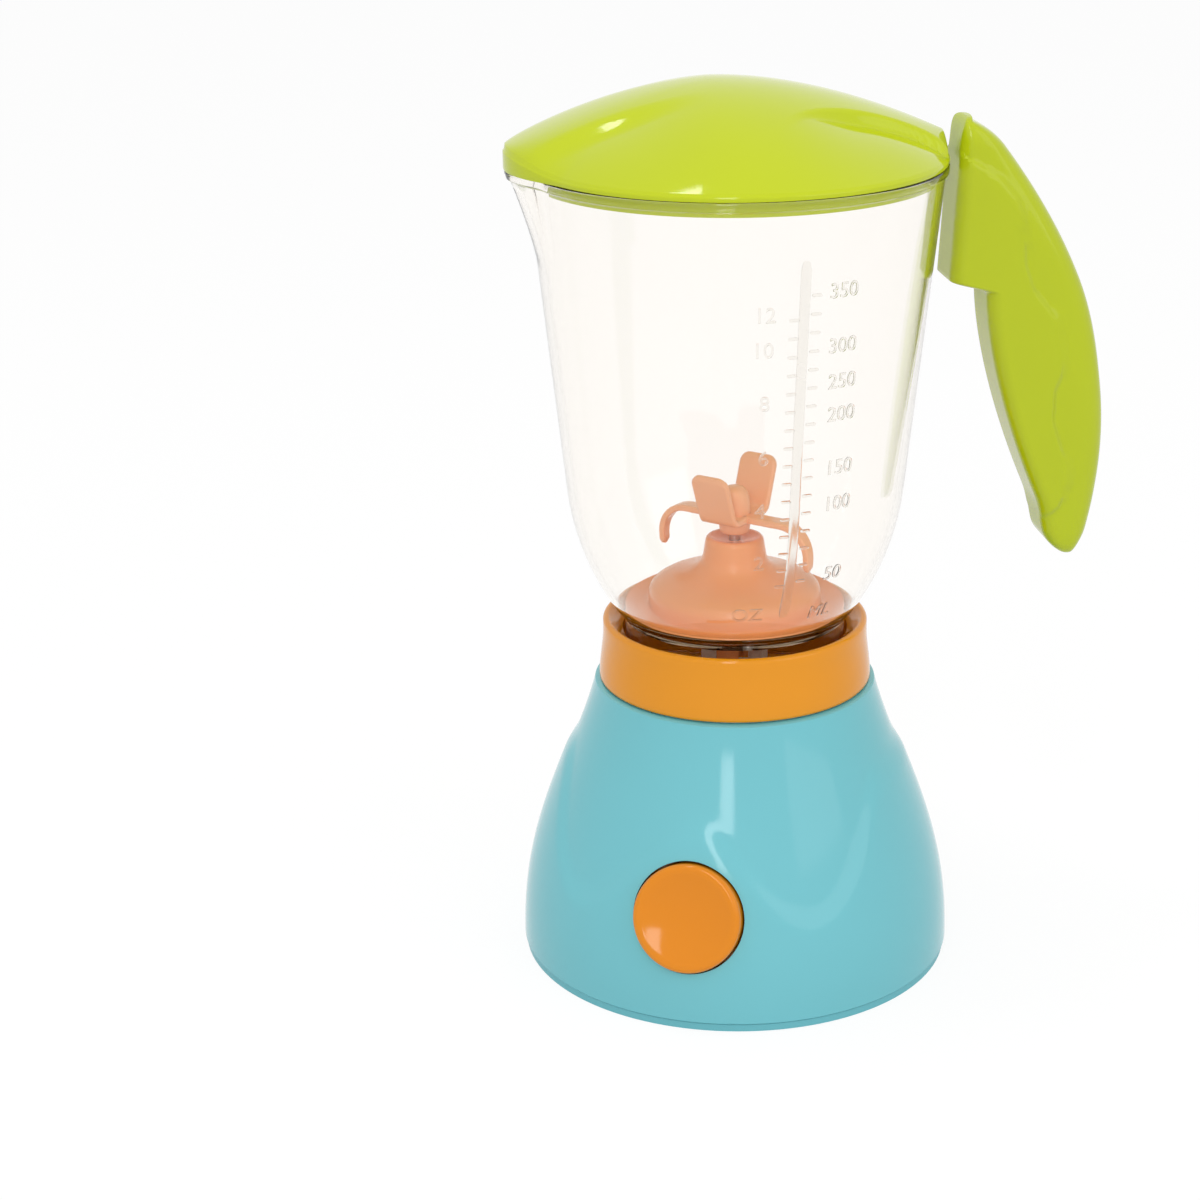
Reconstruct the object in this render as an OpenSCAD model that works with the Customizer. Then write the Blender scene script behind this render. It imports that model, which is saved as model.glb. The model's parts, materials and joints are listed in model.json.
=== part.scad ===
// Toy blender: a bell-shaped base with a push button and a geared motor, a clear jar with a
// handle, a turning blade rotor on a stand, and a lid. Millimetres, +Z up, button facing -Y,
// origin on the table under the middle of the base.

/* [Base] */
// Radius of the bell at the table
foot_r = 61; // [60:0.5:64]
// Radius that the curve of the bell runs out to at its neck
neck_r = 38; // [37:0.5:40]
// Height of the blue base shell
base_h = 81; // [80:1:90]
// Wall of the base shell
shell_wall = 2.4; // [2:0.1:2.8]
// Depth of the scooped panels around the upper bell
scoop_depth = 1.2; // [0.6:0.2:2.2]
// Thickness of the bottom plate
plate_t = 2.2; // [2:0.1:3]

/* [Collar] */
// Height of the collar above the base
collar_h = 17.5; // [16.5:0.5:20]
// Outer radius of the collar at the seam with the base
collar_r = 38; // [37.6:0.2:39]
// Thickness of the collar floor
collar_floor_t = 2.5; // [2:0.5:3]
// Height of the lip that holds the jar lugs down
collar_lip_h = 4; // [3:0.5:5]
// Angle of each slot that lets a jar lug through
slot_angle = 43; // [38:1:50]

/* [Jar] */
// Height of the jar rim above the collar
jar_h = 126.5; // [120:0.5:130]
// Outer radius of the jar at its rim
rim_r = 55.4; // [54:0.2:57]
// Lean of the jar wall, as a share of its height
wall_lean = 0.105; // [0.095:0.005:0.115]
// Wall of the jar
jar_wall = 2; // [1.6:0.1:2.4]
// Outer radius of the jar foot inside the collar
jar_foot_r = 30.6; // [30:0.2:31]
// Reach of the pouring spout from the jar axis
spout_reach = 60.5; // [58:0.5:63]
// Turn of the jar on the base, as it stands in the collar
jar_turn = 23; // [10:1:30]
// Height of each step of the measuring scale
tick_pitch = 4.9; // [4:0.1:5]

/* [Handle] */
// Length of the handle from its top to its tip
handle_l = 123; // [115:1:130]
// Width of the handle across the grip
handle_w = 19.6; // [17:0.2:22]
// Farthest reach of the handle from the jar axis
handle_reach = 102.5; // [100:0.5:106]
// Wall of the handle halves
handle_wall = 2.2; // [1.8:0.1:2.6]

/* [Lid] */
// Rise of the lid ridge above the jar rim
lid_rise = 22; // [18:0.5:26]
// Wall of the lid
lid_wall = 2; // [1.6:0.1:2.4]
// Depth of the skirt that plugs the jar
skirt_h = 4; // [3:0.5:7]
// Depth of the scoops on either side of the ridge
lid_scoop = 3; // [1:0.1:3.2]

/* [Blades] */
// Radius of the foot of the blade stand
stand_r = 24; // [22:0.5:26]
// Height of the blade stand above the jar floor
stand_h = 20.5; // [18:0.5:23]
// Radius that the blade tips sweep
blade_r = 24; // [22:0.5:26]
// Thickness of the moulded blades
blade_t = 1.8; // [1.4:0.1:2.2]
// Radius of the steel blade axle
axle_r = 1.5; // [1.2:0.1:1.8]

/* [Button] */
// Diameter of the push button
button_d = 29.6; // [28:0.2:31]
// Height of the button centre above the table
button_z = 31.6; // [31:0.2:33]
// Travel of the button
button_travel = 3; // [2:0.5:4]

/* [Drive] */
// Module of the gear teeth
gear_module = 0.7; // [0.65:0.05:0.7]
// Teeth of the motor pinion
pinion_teeth = 10; // [9:1:11]
// Teeth of the two large gears
large_teeth = 36; // [34:1:36]
// Teeth of the small step of the compound gear
small_teeth = 12; // [11:1:13]
// Radius of the drive shaft
shaft_r = 2; // [1.6:0.1:2.4]

/* [Battery] */
// Radius of one cell
cell_r = 7.1; // [6.8:0.1:7.2]
// Length of one cell with its cap
cell_l = 50.5; // [49:0.5:51]

/* [Hidden] */
$fn = 64;

// Clearances
run_gap = 0.06;    // round a turning shaft
slide_gap = 0.6;   // round the button
seat_gap = 0.1;    // between pieces that only rest on each other
free_gap = 0.8;    // between a moving piece and a fixed one
snug_gap = 0.15;   // round a piece that is held still
overlap = 0.01;    // so that a cut passes its face

// Levels of the base, from the table up
seam_gap = 0.6;
deck_t = 2.4;
deck_under = base_h - deck_t;
lip_r = jar_foot_r + 0.7;
collar_floor_z = base_h + collar_floor_t;
collar_z = base_h + collar_h;
lug_t = 3;
lug_reach = 2.9;
lug_z = collar_floor_z + 3.4;
lip_z = lug_z + lug_t + 1.2;
groove_r = lip_r + lug_reach;

// Levels of the jar
jar_foot_z = collar_floor_z + seat_gap;
floor_t = 2.5;
foot_wall = 2.2;
belly_steps = 12;
floor_z = collar_z + floor_t;
rim_z = collar_z + jar_h;
belly_z = floor_z + 35;       // where the straight wall starts
belly_radius = 72;            // bend of the belly
belly_turn = atan(wall_lean); // slope of the straight wall
belly_r = rim_r - wall_lean * (rim_z - belly_z);
bead_t = 0.6;
bead_h = 2.4;

// Bell of the base
bell_span = base_h * 1.21;
bell_power = 1.17;
around = 60;
bell_rings = 24;

// Lower edge of the scooped panels: high at the sides, and over the button between two lobes
lobe_low = 0.37 * base_h;
lobe_arch = 0.67 * base_h;
lobe_side = 0.745 * base_h;
lobe_angle = 35;
lobe_side_angle = 72;
scoop_run = 8;

// Screws of the case and of the collar
screw_slot_w = 0.8;
case_post_angles = [52, 128, 220, 320];
case_post_r = 3.6;
case_post_ring = foot_r - 13.5;
case_post_z = plate_t + 1.8;
case_screw_l = 11;
collar_screw_ring = 20;
collar_screw_angles = [15, 110, 235];

// Outside of the collar: a taper, a small round at its crest, and a slope down to the lip
collar_taper = 1.2;
crest_round = 1.2;

// Button axis, tilted back to lie square to the bell
button_tilt = 17;
button_r = button_d / 2;
button_out = 1.6;
button_top_t = 2.6;
bore_r = button_r + slide_gap;
guide_l = 8;
guide_r = bore_r + 1.6;
flange_r = bore_r + 1.4;
flange_t = 1.6;
skirt_l = guide_l + 0.4;
plunger_r = 2.4;
bracket_depth = 16;
bracket_t = 2;
bracket_w = 13;
bracket_end = 4;     // past the middle of its posts
bracket_screw_l = 6; // past the bracket
plunger_l = bracket_depth + bracket_t + 0.4;
bracket_post_r = 3;
bracket_post_x = flange_r + bracket_post_r + 1;
button_spring_r = 5;
switch_x = 11;
leaf_t = 0.4;
leaf_w = 4;
leaf_step = 1.2;     // between the two leaves

// Gears
pressure = 25;
addendum = 0.8 * gear_module;
dedendum = 1.15 * gear_module;
backlash = 0.16;
pinion_r = gear_module * pinion_teeth / 2;
large_r = gear_module * large_teeth / 2;
small_r = gear_module * small_teeth / 2;
output_centre = large_r + small_r;
pinion_centre = pinion_r + large_r;
output_phase = 90;
motor_angle = 70;
compound_x = 0;
compound_y = output_centre;
motor_x = pinion_centre * sin(motor_angle);
motor_y = compound_y - pinion_centre * cos(motor_angle);
compound_small_phase = 270 + 180 / small_teeth;
compound_large_phase = atan2(motor_y - compound_y, motor_x - compound_x);
pinion_phase = compound_large_phase + 180 + 180 / pinion_teeth;

// Levels of the gearbox, from its lid down
box_wall = 1.6;
box_lid_t = 2;
box_floor_t = 2;
post_drop = 6;
box_top = deck_under - post_drop;
box_lid_z = box_top - box_lid_t;
gear_gap = 0.6;
small_face = 5;
large_face = 4;
output_z = box_lid_z - gear_gap - small_face;
large_z = output_z - free_gap - large_face;
box_floor_z = large_z - gear_gap;
box_z = box_floor_z - box_floor_t;
gear_clear = 1;
gear_pin_r = 1.2;
screw_r = 1.3;
screw_head_r = 2.6;
screw_head_t = 1.6;
ear_r = 3.6;
ear_t = 2;
box_r = large_r + addendum + gear_clear + box_wall;
ear_ring = box_r + 2.6;
ear_spots = [[-ear_ring, compound_y / 2], [ear_ring * cos(-50), ear_ring * sin(-50)],
    [ear_ring * cos(50), compound_y + ear_ring * sin(50)]];
pinion_pocket_r = pinion_r + addendum + gear_clear + box_wall;

// Motor
motor_can_r = 10;
motor_flat = 15;
motor_can_l = 20;
motor_cap_l = 5;
motor_boss_r = 3;
motor_boss_h = 1.5;
motor_shaft_r = 1;

// Bush of the drive shaft
bush_r = shaft_r + 2;
bush_flange_r = bush_r + 1.6;

// Dog coupling between the base and the jar
dog_r = 9;
dog_disc_t = 2.5;
dog_lug_h = 6;
dog_lug_in = 4.4;
dog_lug_angle = 40;
dog_z = collar_floor_z + free_gap;
dog_engage = 4.3;
driven_lug_z = dog_z + dog_disc_t + dog_lug_h - dog_engage;
driven_disc_z = driven_lug_z + dog_lug_h;

// Blade stand and rotor
stand_side_h = 5;
stem_r = 8;
stem_low_r = 8.6;
stand_wall = 1.8;
stand_tube_r = 3.6;
stand_top_z = floor_z + stand_h;
stand_screw_r = 18;
hub_z = stand_top_z + 1.4;
hub_h = 13;
hub_r = 4.2;
blade_z = hub_z + 4.5;
blade_turn = -109;
paddle_w = 11.5;
paddle_h = 14.5;
paddle_foot = 8;
paddle_lean = 70;
hook_w = 5;
hook_radius = 7.5;

// Battery well
cell_gap = 0.4;
well_wall = 1.5;
cell_cap_l = 1.3;
cell_cap_r = 2.7;
well_y = 14;
well_in_l = cell_l + 3.6;
well_in_w = 4 * cell_r + 3 * cell_gap;
door_t = 1.8;
door_inset = 0.5;
door_gap = 0.4;
cell_z = door_inset + door_t + cell_gap + cell_r;
well_top_z = cell_z + cell_r + cell_gap;
door_l = well_in_l + 18;
door_w = well_in_w + 4;
door_screw_x = well_in_l / 2 + well_wall + 3.2;
door_screw_bore = 1.95;
door_screw_l = 6;
contact_t = 0.5;
contact_spring_r = 3;
contact_spring_foot_r = 5;
contact_spring_t = 0.8;
tab_r = 1;
tab_w = 6;
tab_y = 9;
tab_lead = 1.8;
tab_l = tab_lead + door_t + 2;
hinge_x = -door_l / 2 - tab_lead;
hinge_z = door_inset + 2.4;

// Handle, in the plane of the jar axis
block_gap = 3.4;   // to the jar at its rim
block_flare = 1.6; // more at the foot of the block
block_drop = 33;
block_slope = 4;
handle_top = rim_z + 10;
handle_tip = handle_top - handle_l;
grip_top = rim_z - block_drop - block_slope;
grip_in = 67.3;
bulge_z = rim_z - 79;
bulge_bow = 0.0048;
grip_bow = 0.0237;
grip_power = 1.6;
tip_round = 7;
top_round = 6;
handle_points = 20;
rail_w = 3;
rail_head_w = 9;
rail_head_t = 2;
rail_head_in = 1.2; // from the face of the block to the head
rail_drop = 29;
rail_top_drop = 2;
screw_seat = 2.6;   // depth of the handle screws' seat
handle_screw_zs = [rim_z - 55, rim_z - 92];
handle_post_r = 3.4;
spout_drop = 25;
spout_lip = 1.5;
spout_low = 0.3;   // of the spout's lip under the rim
spout_sink = 0.6;  // of the spout's sides into the wall
slot_middle = -116.5;
lug_angle = 30;
stand_screw_angles = [30, 150, 270];
axle_bush_r = 3.4;
bar_angle = -81;
bar_half_angle = 1.5;
tick_angle = 3.7;
tick_t = 0.8;
bar_low_z = floor_z + 9.5;
bar_high_z = rim_z - 15.5;

// Lid
ridge_peak_x = -5;
ridge_spout_h = 6.3;
ridge_handle_h = 6.2;
band_half = 13;        // half width of the raised band towards the spout and the handle
band_spread = 16;      // more towards the middle, on the handle side
band_spread_from = 50;
band_spread_run = 43;
scoop_slope = 8;       // run of the step beside the band
scoop_flat_x = -2;     // middle of the lid, without scoops
lid_edge_t = 1.6;
lid_reach = rim_r + bead_t + 0.3;
lid_edge_out = 0.8;    // of the lid past the spout
lid_tab_h = 3.6;       // more at the spout, where a finger lifts the lid
lid_rings = 13;
under_rings = 9;
skirt_wall = 1.6;
skirt_step = 0.3;  // left of the skirt where it is open to the spout
lid_seat_w = 3;
lid_around = 64;
spout_half = 15;

// ---------- shared functions ----------

// 0 below the start of a step, 1 above its end, smooth between
function smooth(t) = let (c = max(0, min(1, t))) c * c * (3 - 2 * c);

// Faces of a stack of rings with n points each, closed by a flat cap at both ends
function side_faces(rings, n) = [for (k = [0:rings - 2], i = [0:n - 1])
    let (p = k * n + i, q = k * n + (i + 1) % n) each [[p, p + n, q + n], [p, q + n, q]]];
function stack_faces(rings, n) = concat(
    [[for (i = [0:n - 1]) i]],
    side_faces(rings, n),
    [[for (i = [n - 1:-1:0]) (rings - 1) * n + i]]);

// Radius of the plain bell at a height
function bell_r(z) = neck_r + (foot_r - neck_r) / 2 * (1 + cos(180 * pow(z / bell_span, bell_power)));

// Height of the lower edge of the scooped panels at an angle
function folded(a) = let (b = abs((a + 450) % 360 - 180)) b > 90 ? 180 - b : b;
function scoop_edge(a) = let (t = 90 - abs(90 - folded(a)))
    t < lobe_angle ? lobe_low + (lobe_arch - lobe_low) / 2 * (1 + cos(180 * t / lobe_angle)) :
    lobe_low + (lobe_side - lobe_low) * smooth((t - lobe_angle) / (lobe_side_angle - lobe_angle));
function base_r(a, z) = bell_r(z) - scoop_depth * smooth((z - scoop_edge(a)) / scoop_run + 0.5);

// Outer radius of the jar at a height
function belly_tilt(z) = asin(sin(belly_turn) + (belly_z - z) / belly_radius);
function jar_r(z) = z > belly_z ? rim_r - wall_lean * (rim_z - z) :
    belly_r - belly_radius * (cos(belly_turn) - cos(belly_tilt(z)));

// Outer and inner reach of the handle at a height
function handle_out(z) = handle_reach - bulge_bow * pow(z - bulge_z, 2);
function block_in(z) = jar_r(z) + block_gap + block_flare * max(0, rim_z - z) / block_drop;
function handle_in(z) = z < grip_top ? grip_in + grip_bow * pow(grip_top - z, grip_power) :
    let (s = smooth((z - grip_top) / block_slope)) grip_in * (1 - s) + block_in(z) * s;

// Outline of a gear, with involute flanks and a little backlash
function involute(a) = tan(a) * 180 / PI - a;
function flank_angle(n, r) = let (base = gear_module * n / 2 * cos(pressure))
    90 / n - backlash / (gear_module * n) * 180 / PI + involute(pressure)
    - (r > base ? involute(acos(base / r)) : 0);
function tooth_radii(n) = let (p = gear_module * n / 2, base = p * cos(pressure), low = p - dedendum)
    let (from = max(base, low + 0.05)) concat([low], [for (k = [0:4]) from + (p + addendum - from) * k / 4]);
function on_circle(r, a) = [r * cos(a), r * sin(a)];
function gear_outline(n, turn) = let (radii = tooth_radii(n), last = len(radii) - 1)
    [for (tooth = [0:n - 1]) let (at = turn + 360 * tooth / n) each concat(
        [for (k = [0:last]) on_circle(radii[k], at - flank_angle(n, radii[k]))],
        [for (k = [last:-1:0]) on_circle(radii[k], at + flank_angle(n, radii[k]))])];

// ---------- shared shapes ----------

module tube(outer, inner, h) {
    difference() {
        cylinder(r = outer, h = h);
        translate([0, 0, -overlap]) cylinder(r = inner, h = h + 2 * overlap);
    }
}

module rounded_slab(l, w, r, h) {
    linear_extrude(h) {
        square([l - 2 * r, w], center = true);
        square([l, w - 2 * r], center = true);
        for (x = [-1, 1], y = [-1, 1]) translate([x * (l / 2 - r), y * (w / 2 - r)]) circle(r);
    }
}

module gear(n, turn, h, bore) {
    difference() {
        linear_extrude(h) polygon(gear_outline(n, turn));
        translate([0, 0, -overlap]) cylinder(r = bore, h = h + 2 * overlap);
    }
}

// A screw with its head down and its point up, its head's seat at z = 0
module screw_up(r, l, head_r, head_t) {
    cylinder(r = r, h = l);
    difference() {
        translate([0, 0, -head_t]) cylinder(r = head_r, h = head_t);
        for (a = [0, 90]) translate([0, 0, -head_t]) rotate(a)
            cube([head_r * 1.3, screw_slot_w, head_t], center = true);
    }
}

module in_button() {
    translate([0, -bell_r(button_z), button_z]) rotate([90 - button_tilt, 0, 0]) children();
}

module in_jar() {
    rotate(jar_turn) children();
}

// ---------- base ----------

module bell_form() {
    rings = [for (k = [0:bell_rings]) let (z = plate_t + (base_h - plate_t) * k / bell_rings)
        [for (i = [0:around - 1]) let (a = 360 * i / around) [each on_circle(base_r(a, z), a), z]]];
    polyhedron([for (ring = rings) each ring], stack_faces(len(rings), around));
}

module bell_hollow() {
    steps = 14;
    top = deck_under;
    rotate_extrude() polygon(concat(
        [[0, plate_t - 1], [bell_r(plate_t) - shell_wall, plate_t - 1]],
        [for (k = [0:steps]) let (z = plate_t + (top - plate_t) * k / steps)
            [bell_r(z) - scoop_depth * smooth((z - lobe_low) / scoop_run + 0.5) - shell_wall, z]],
        [[0, top]]));
}

module base_shell() {
    color([0.47, 0.77, 0.82]) difference() {
        bell_form();
        difference() {
            bell_hollow();
            in_button() translate([0, 0, -guide_l]) cylinder(r = guide_r, h = guide_l + 10);
            in_button() for (x = [-1, 1]) translate([x * bracket_post_x, 0, -bracket_depth])
                cylinder(r = bracket_post_r, h = bracket_depth + 10);
            for (a = case_post_angles) rotate(a) translate([case_post_ring, 0, case_post_z])
                cylinder(r = case_post_r, h = 40);
            for (p = ear_spots) translate([p.x, p.y, box_top]) cylinder(r = ear_r - 0.6, h = post_drop + 1);
        }
        in_button() translate([0, 0, -guide_l - 1]) cylinder(r = bore_r, h = guide_l + 12);
        in_button() for (x = [-1, 1]) translate([x * bracket_post_x, 0, -bracket_depth - overlap])
            cylinder(r = screw_r, h = 8);
        for (a = case_post_angles) rotate(a) translate([case_post_ring, 0, case_post_z - overlap])
            cylinder(r = screw_r, h = 14);
        for (p = ear_spots) translate([p.x, p.y, box_top - overlap])
            cylinder(r = screw_r, h = post_drop - 1);
        translate([0, 0, deck_under - 1]) cylinder(r = bush_flange_r + 0.6, h = deck_t + 2);
        for (a = collar_screw_angles) rotate(a) translate([collar_screw_ring, 0, deck_under - 1])
            cylinder(r = screw_r + 0.1, h = deck_t + 2);
        difference() {
            translate([0, 0, base_h - seam_gap]) cylinder(r = foot_r, h = 5);
            translate([0, 0, base_h - seam_gap - 1]) cylinder(r = collar_r - 1.4, h = 7);
        }
    }
}

module collar() {
    crest_r = collar_r - collar_taper - crest_round;
    color([0.92, 0.58, 0.15]) difference() {
        translate([0, 0, base_h]) rotate_extrude() polygon(concat(
            [[bush_r, 0], [collar_r, 0]],
            [for (k = [1:7]) let (s = k / 8) [collar_r - collar_taper * smooth(s), 0.8 * collar_h * s]],
            [for (a = [10:20:90]) [crest_r + crest_round * cos(a), collar_h - crest_round * (1 - sin(a))]],
            [[lip_r, lip_z - base_h + collar_lip_h], [lip_r, lip_z - base_h],
             [groove_r, lip_z - base_h], [groove_r, collar_floor_t], [bush_r, collar_floor_t]]));
        for (k = [0:2]) rotate(slot_middle - slot_angle / 2 + 120 * k) translate([0, 0, lip_z - 1])
            rotate_extrude(angle = slot_angle) translate([lip_r - 1, 0])
                square([groove_r - lip_r + 0.9, collar_h]);
        for (a = collar_screw_angles) rotate(a) translate([collar_screw_ring, 0, base_h - overlap])
            cylinder(r = screw_r, h = collar_floor_t + 1);
    }
}

module bottom_plate() {
    well_l = well_in_l + 2 * well_wall;
    well_w = well_in_w + 2 * well_wall;
    recess_l = door_l + 2 * door_gap;
    recess_w = door_w + 2 * door_gap;
    recess_h = door_t + snug_gap;
    color([0.44, 0.73, 0.79]) difference() {
        union() {
            difference() {
                cylinder(r = bell_r(plate_t) - 0.6, h = plate_t - 0.2);
                translate([0, 0, -overlap]) cylinder(r = foot_r - 9, h = door_inset);
            }
            translate([0, well_y, door_inset])
                rounded_slab(well_l, well_w, 2, well_top_z + well_wall - door_inset);
            translate([0, well_y, door_inset])
                rounded_slab(recess_l + 2 * well_wall, recess_w + 2 * well_wall, 3, recess_h + well_wall);
            translate([door_screw_x, well_y, door_inset]) cylinder(r = 4, h = door_t + door_screw_l + 2);
            translate([hinge_x + tab_l / 2 - 1, well_y, door_inset])
                rounded_slab(tab_l + 6, 2 * tab_y + tab_w + 6, 1, hinge_z + tab_r + 1.6 - door_inset);
            for (a = case_post_angles) rotate(a) translate([case_post_ring, 0, door_inset])
                cylinder(r = case_post_r + 0.8, h = case_post_z - door_inset);
        }
        translate([0, well_y, 0]) rounded_slab(well_in_l, well_in_w, 1, well_top_z);
        translate([0, well_y, -overlap])
            rounded_slab(recess_l, recess_w, 2, door_inset + recess_h + overlap);
        for (side = [-1, 1]) translate([hinge_x, well_y + side * tab_y, 0]) tab_pocket();
        translate([door_screw_x, well_y, 0]) cylinder(r = door_screw_bore, h = door_t + door_screw_l);
        for (a = case_post_angles) rotate(a) translate([case_post_ring, 0, -overlap]) {
            cylinder(r = screw_r + 0.1, h = case_post_z + 1);
            cylinder(r = screw_head_r + 0.3, h = plate_t + overlap);
        }
    }
}

// The C-shaped seat of one door tab, open towards the door and downwards
module tab_pocket() {
    translate([0, 0, hinge_z]) rotate([90, 0, 0])
        cylinder(r = tab_r + 0.2, h = tab_w + 2 * door_gap, center = true);
    translate([-0.6 * tab_r, -tab_w / 2 - door_gap, -overlap])
        cube([tab_l + 0.6 * tab_r + door_gap, tab_w + 2 * door_gap, hinge_z + tab_r + 0.2]);
}

module case_screws() {
    color([0.62, 0.63, 0.65]) for (a = case_post_angles) rotate(a) translate([case_post_ring, 0, plate_t])
        screw_up(screw_r, case_screw_l, screw_head_r, screw_head_t);
}

module collar_screws() {
    color([0.62, 0.63, 0.65]) for (a = collar_screw_angles) rotate(a)
        translate([collar_screw_ring, 0, deck_under])
            screw_up(screw_r, deck_t + collar_floor_t - 0.6, screw_head_r, screw_head_t);
}

module drive_bush() {
    color([0.93, 0.92, 0.88]) {
        translate([0, 0, base_h]) tube(bush_r, shaft_r + run_gap, collar_floor_t);
        translate([0, 0, base_h - 1.2]) tube(bush_flange_r, shaft_r + run_gap, 1.2);
    }
}

module box_outline(shrink) {
    circle(box_r - shrink);
    translate([compound_x, compound_y]) circle(box_r - shrink);
    translate([-box_r + shrink, 0]) square([2 * (box_r - shrink), compound_y]);
    translate([motor_x, motor_y]) circle(pinion_pocket_r - shrink);
}

module gearbox_ears(h) {
    for (p = ear_spots) difference() {
        translate([p.x, p.y, 0]) cylinder(r = ear_r, h = h);
        translate([0, 0, -1]) linear_extrude(h + 2) box_outline(box_wall / 2);
        translate([p.x, p.y, -1]) cylinder(r = screw_r + 0.1, h = h + 2);
    }
}

module motor_section(r, flat, h) {
    intersection() {
        cylinder(r = r, h = h);
        translate([-r, -flat / 2, 0]) cube([2 * r, flat, h]);
    }
}

module gearbox_case() {
    cradle_h = 7;
    color([0.90, 0.90, 0.86]) {
        difference() {
            union() {
                translate([0, 0, box_z]) linear_extrude(box_lid_z - box_z) box_outline(0);
                translate([0, 0, box_lid_z - ear_t]) gearbox_ears(ear_t);
                translate([motor_x, motor_y, box_z - cradle_h])
                    motor_section(motor_can_r + 1.5, motor_flat + 3, cradle_h);
            }
            translate([0, 0, box_floor_z]) linear_extrude(box_lid_z - box_floor_z + 1) box_outline(box_wall);
            translate([motor_x, motor_y, box_z - cradle_h - 1])
                motor_section(motor_can_r + snug_gap, motor_flat + 2 * snug_gap, cradle_h + 1);
            translate([0, 0, box_z + 0.5]) cylinder(r = shaft_r + run_gap, h = box_floor_t + 1);
            translate([compound_x, compound_y, box_z + 0.5]) cylinder(r = gear_pin_r, h = box_floor_t + 1);
            translate([motor_x, motor_y, box_z - 1])
                cylinder(r = motor_boss_r + snug_gap, h = box_floor_t + 2);
        }
    }
}

module gearbox_lid() {
    color([0.86, 0.87, 0.84]) difference() {
        translate([0, 0, box_lid_z]) {
            linear_extrude(box_lid_t) box_outline(0);
            gearbox_ears(box_lid_t);
        }
        translate([0, 0, box_lid_z - 1]) cylinder(r = shaft_r + run_gap, h = box_lid_t + 2);
        translate([compound_x, compound_y, box_lid_z - 1]) cylinder(r = gear_pin_r, h = box_lid_t + 2);
    }
}

module gearbox_screws() {
    color([0.62, 0.63, 0.65]) for (p = ear_spots) translate([p.x, p.y, box_lid_z - ear_t])
        screw_up(screw_r, ear_t + box_lid_t + post_drop - 2, screw_head_r, screw_head_t);
}

module gear_pin() {
    color([0.75, 0.76, 0.78]) translate([compound_x, compound_y, box_z + 0.5])
        cylinder(r = gear_pin_r, h = box_top - box_z - 0.5);
}

module motor_can() {
    color([0.78, 0.79, 0.81]) translate([motor_x, motor_y, box_z]) {
        difference() {
            translate([0, 0, -motor_can_l]) motor_section(motor_can_r, motor_flat, motor_can_l);
            translate([0, 0, -motor_can_l - 1]) cylinder(r = motor_shaft_r + run_gap, h = motor_can_l + 2);
        }
        tube(motor_boss_r, motor_shaft_r + run_gap, motor_boss_h);
    }
}

module motor_cap() {
    color([0.95, 0.95, 0.95]) translate([motor_x, motor_y, box_z - motor_can_l - motor_cap_l]) {
        difference() {
            motor_section(motor_can_r - 0.4, motor_flat - 0.8, motor_cap_l);
            translate([0, 0, 1.5]) cylinder(r = motor_shaft_r + run_gap, h = motor_cap_l);
        }
        for (x = [-1, 1]) translate([x * (motor_can_r - 3) - 1, -0.25, -2.5]) cube([2, 0.5, 2.6]);
    }
}

// ---------- batteries ----------

module cell(turn) {
    rotate([0, 90, turn]) translate([0, 0, -cell_l / 2]) {
        cylinder(r = cell_r, h = cell_l - cell_cap_l);
        cylinder(r = cell_cap_r, h = cell_l);
    }
}

module cell_front() {
    color([0.20, 0.22, 0.24]) translate([0, well_y - cell_r - cell_gap / 2, cell_z]) cell(0);
}

module cell_rear() {
    color([0.20, 0.22, 0.24]) translate([0, well_y + cell_r + cell_gap / 2, cell_z]) cell(180);
}

// Coned contact springs, at the flat end of each cell
module battery_springs() {
    length = well_in_l / 2 - contact_t - cell_l / 2 - 0.1;
    tip = contact_spring_r;
    foot = contact_spring_foot_r;
    color([0.75, 0.76, 0.78]) for (side = [-1, 1])
        translate([side * (cell_l / 2 + 0.05), well_y + side * (cell_r + cell_gap / 2), cell_z])
            rotate([0, side * 90, 0]) rotate_extrude() polygon([[tip - contact_spring_t, 0], [tip, 0],
                [foot, length], [foot - contact_spring_t, length]]);
}

module battery_contacts() {
    w = 2 * cell_r - 2;
    color([0.80, 0.78, 0.70]) for (side = [-1, 1], row = [-1, 1])
        translate([side * (well_in_l - contact_t) / 2, well_y + row * (cell_r + cell_gap / 2), cell_z])
            cube([contact_t - 0.02, w, w], center = true);
}

// ---------- switch ----------

module switch_bracket() {
    color([0.90, 0.90, 0.86]) in_button() translate([0, 0, -bracket_depth - bracket_t]) difference() {
        rounded_slab(2 * (bracket_post_x + bracket_end), bracket_w, 2, bracket_t);
        for (x = [-1, 1]) translate([x * bracket_post_x, 0, -1])
            cylinder(r = screw_r + 0.1, h = bracket_t + 2);
        translate([0, 0, -1]) cylinder(r = plunger_r + 0.3, h = bracket_t + 2);
    }
}

module bracket_screws() {
    color([0.62, 0.63, 0.65]) in_button() for (x = [-1, 1])
        translate([x * bracket_post_x, 0, -bracket_depth - bracket_t])
            screw_up(screw_r, bracket_t + bracket_screw_l, screw_head_r, screw_head_t);
}

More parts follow.
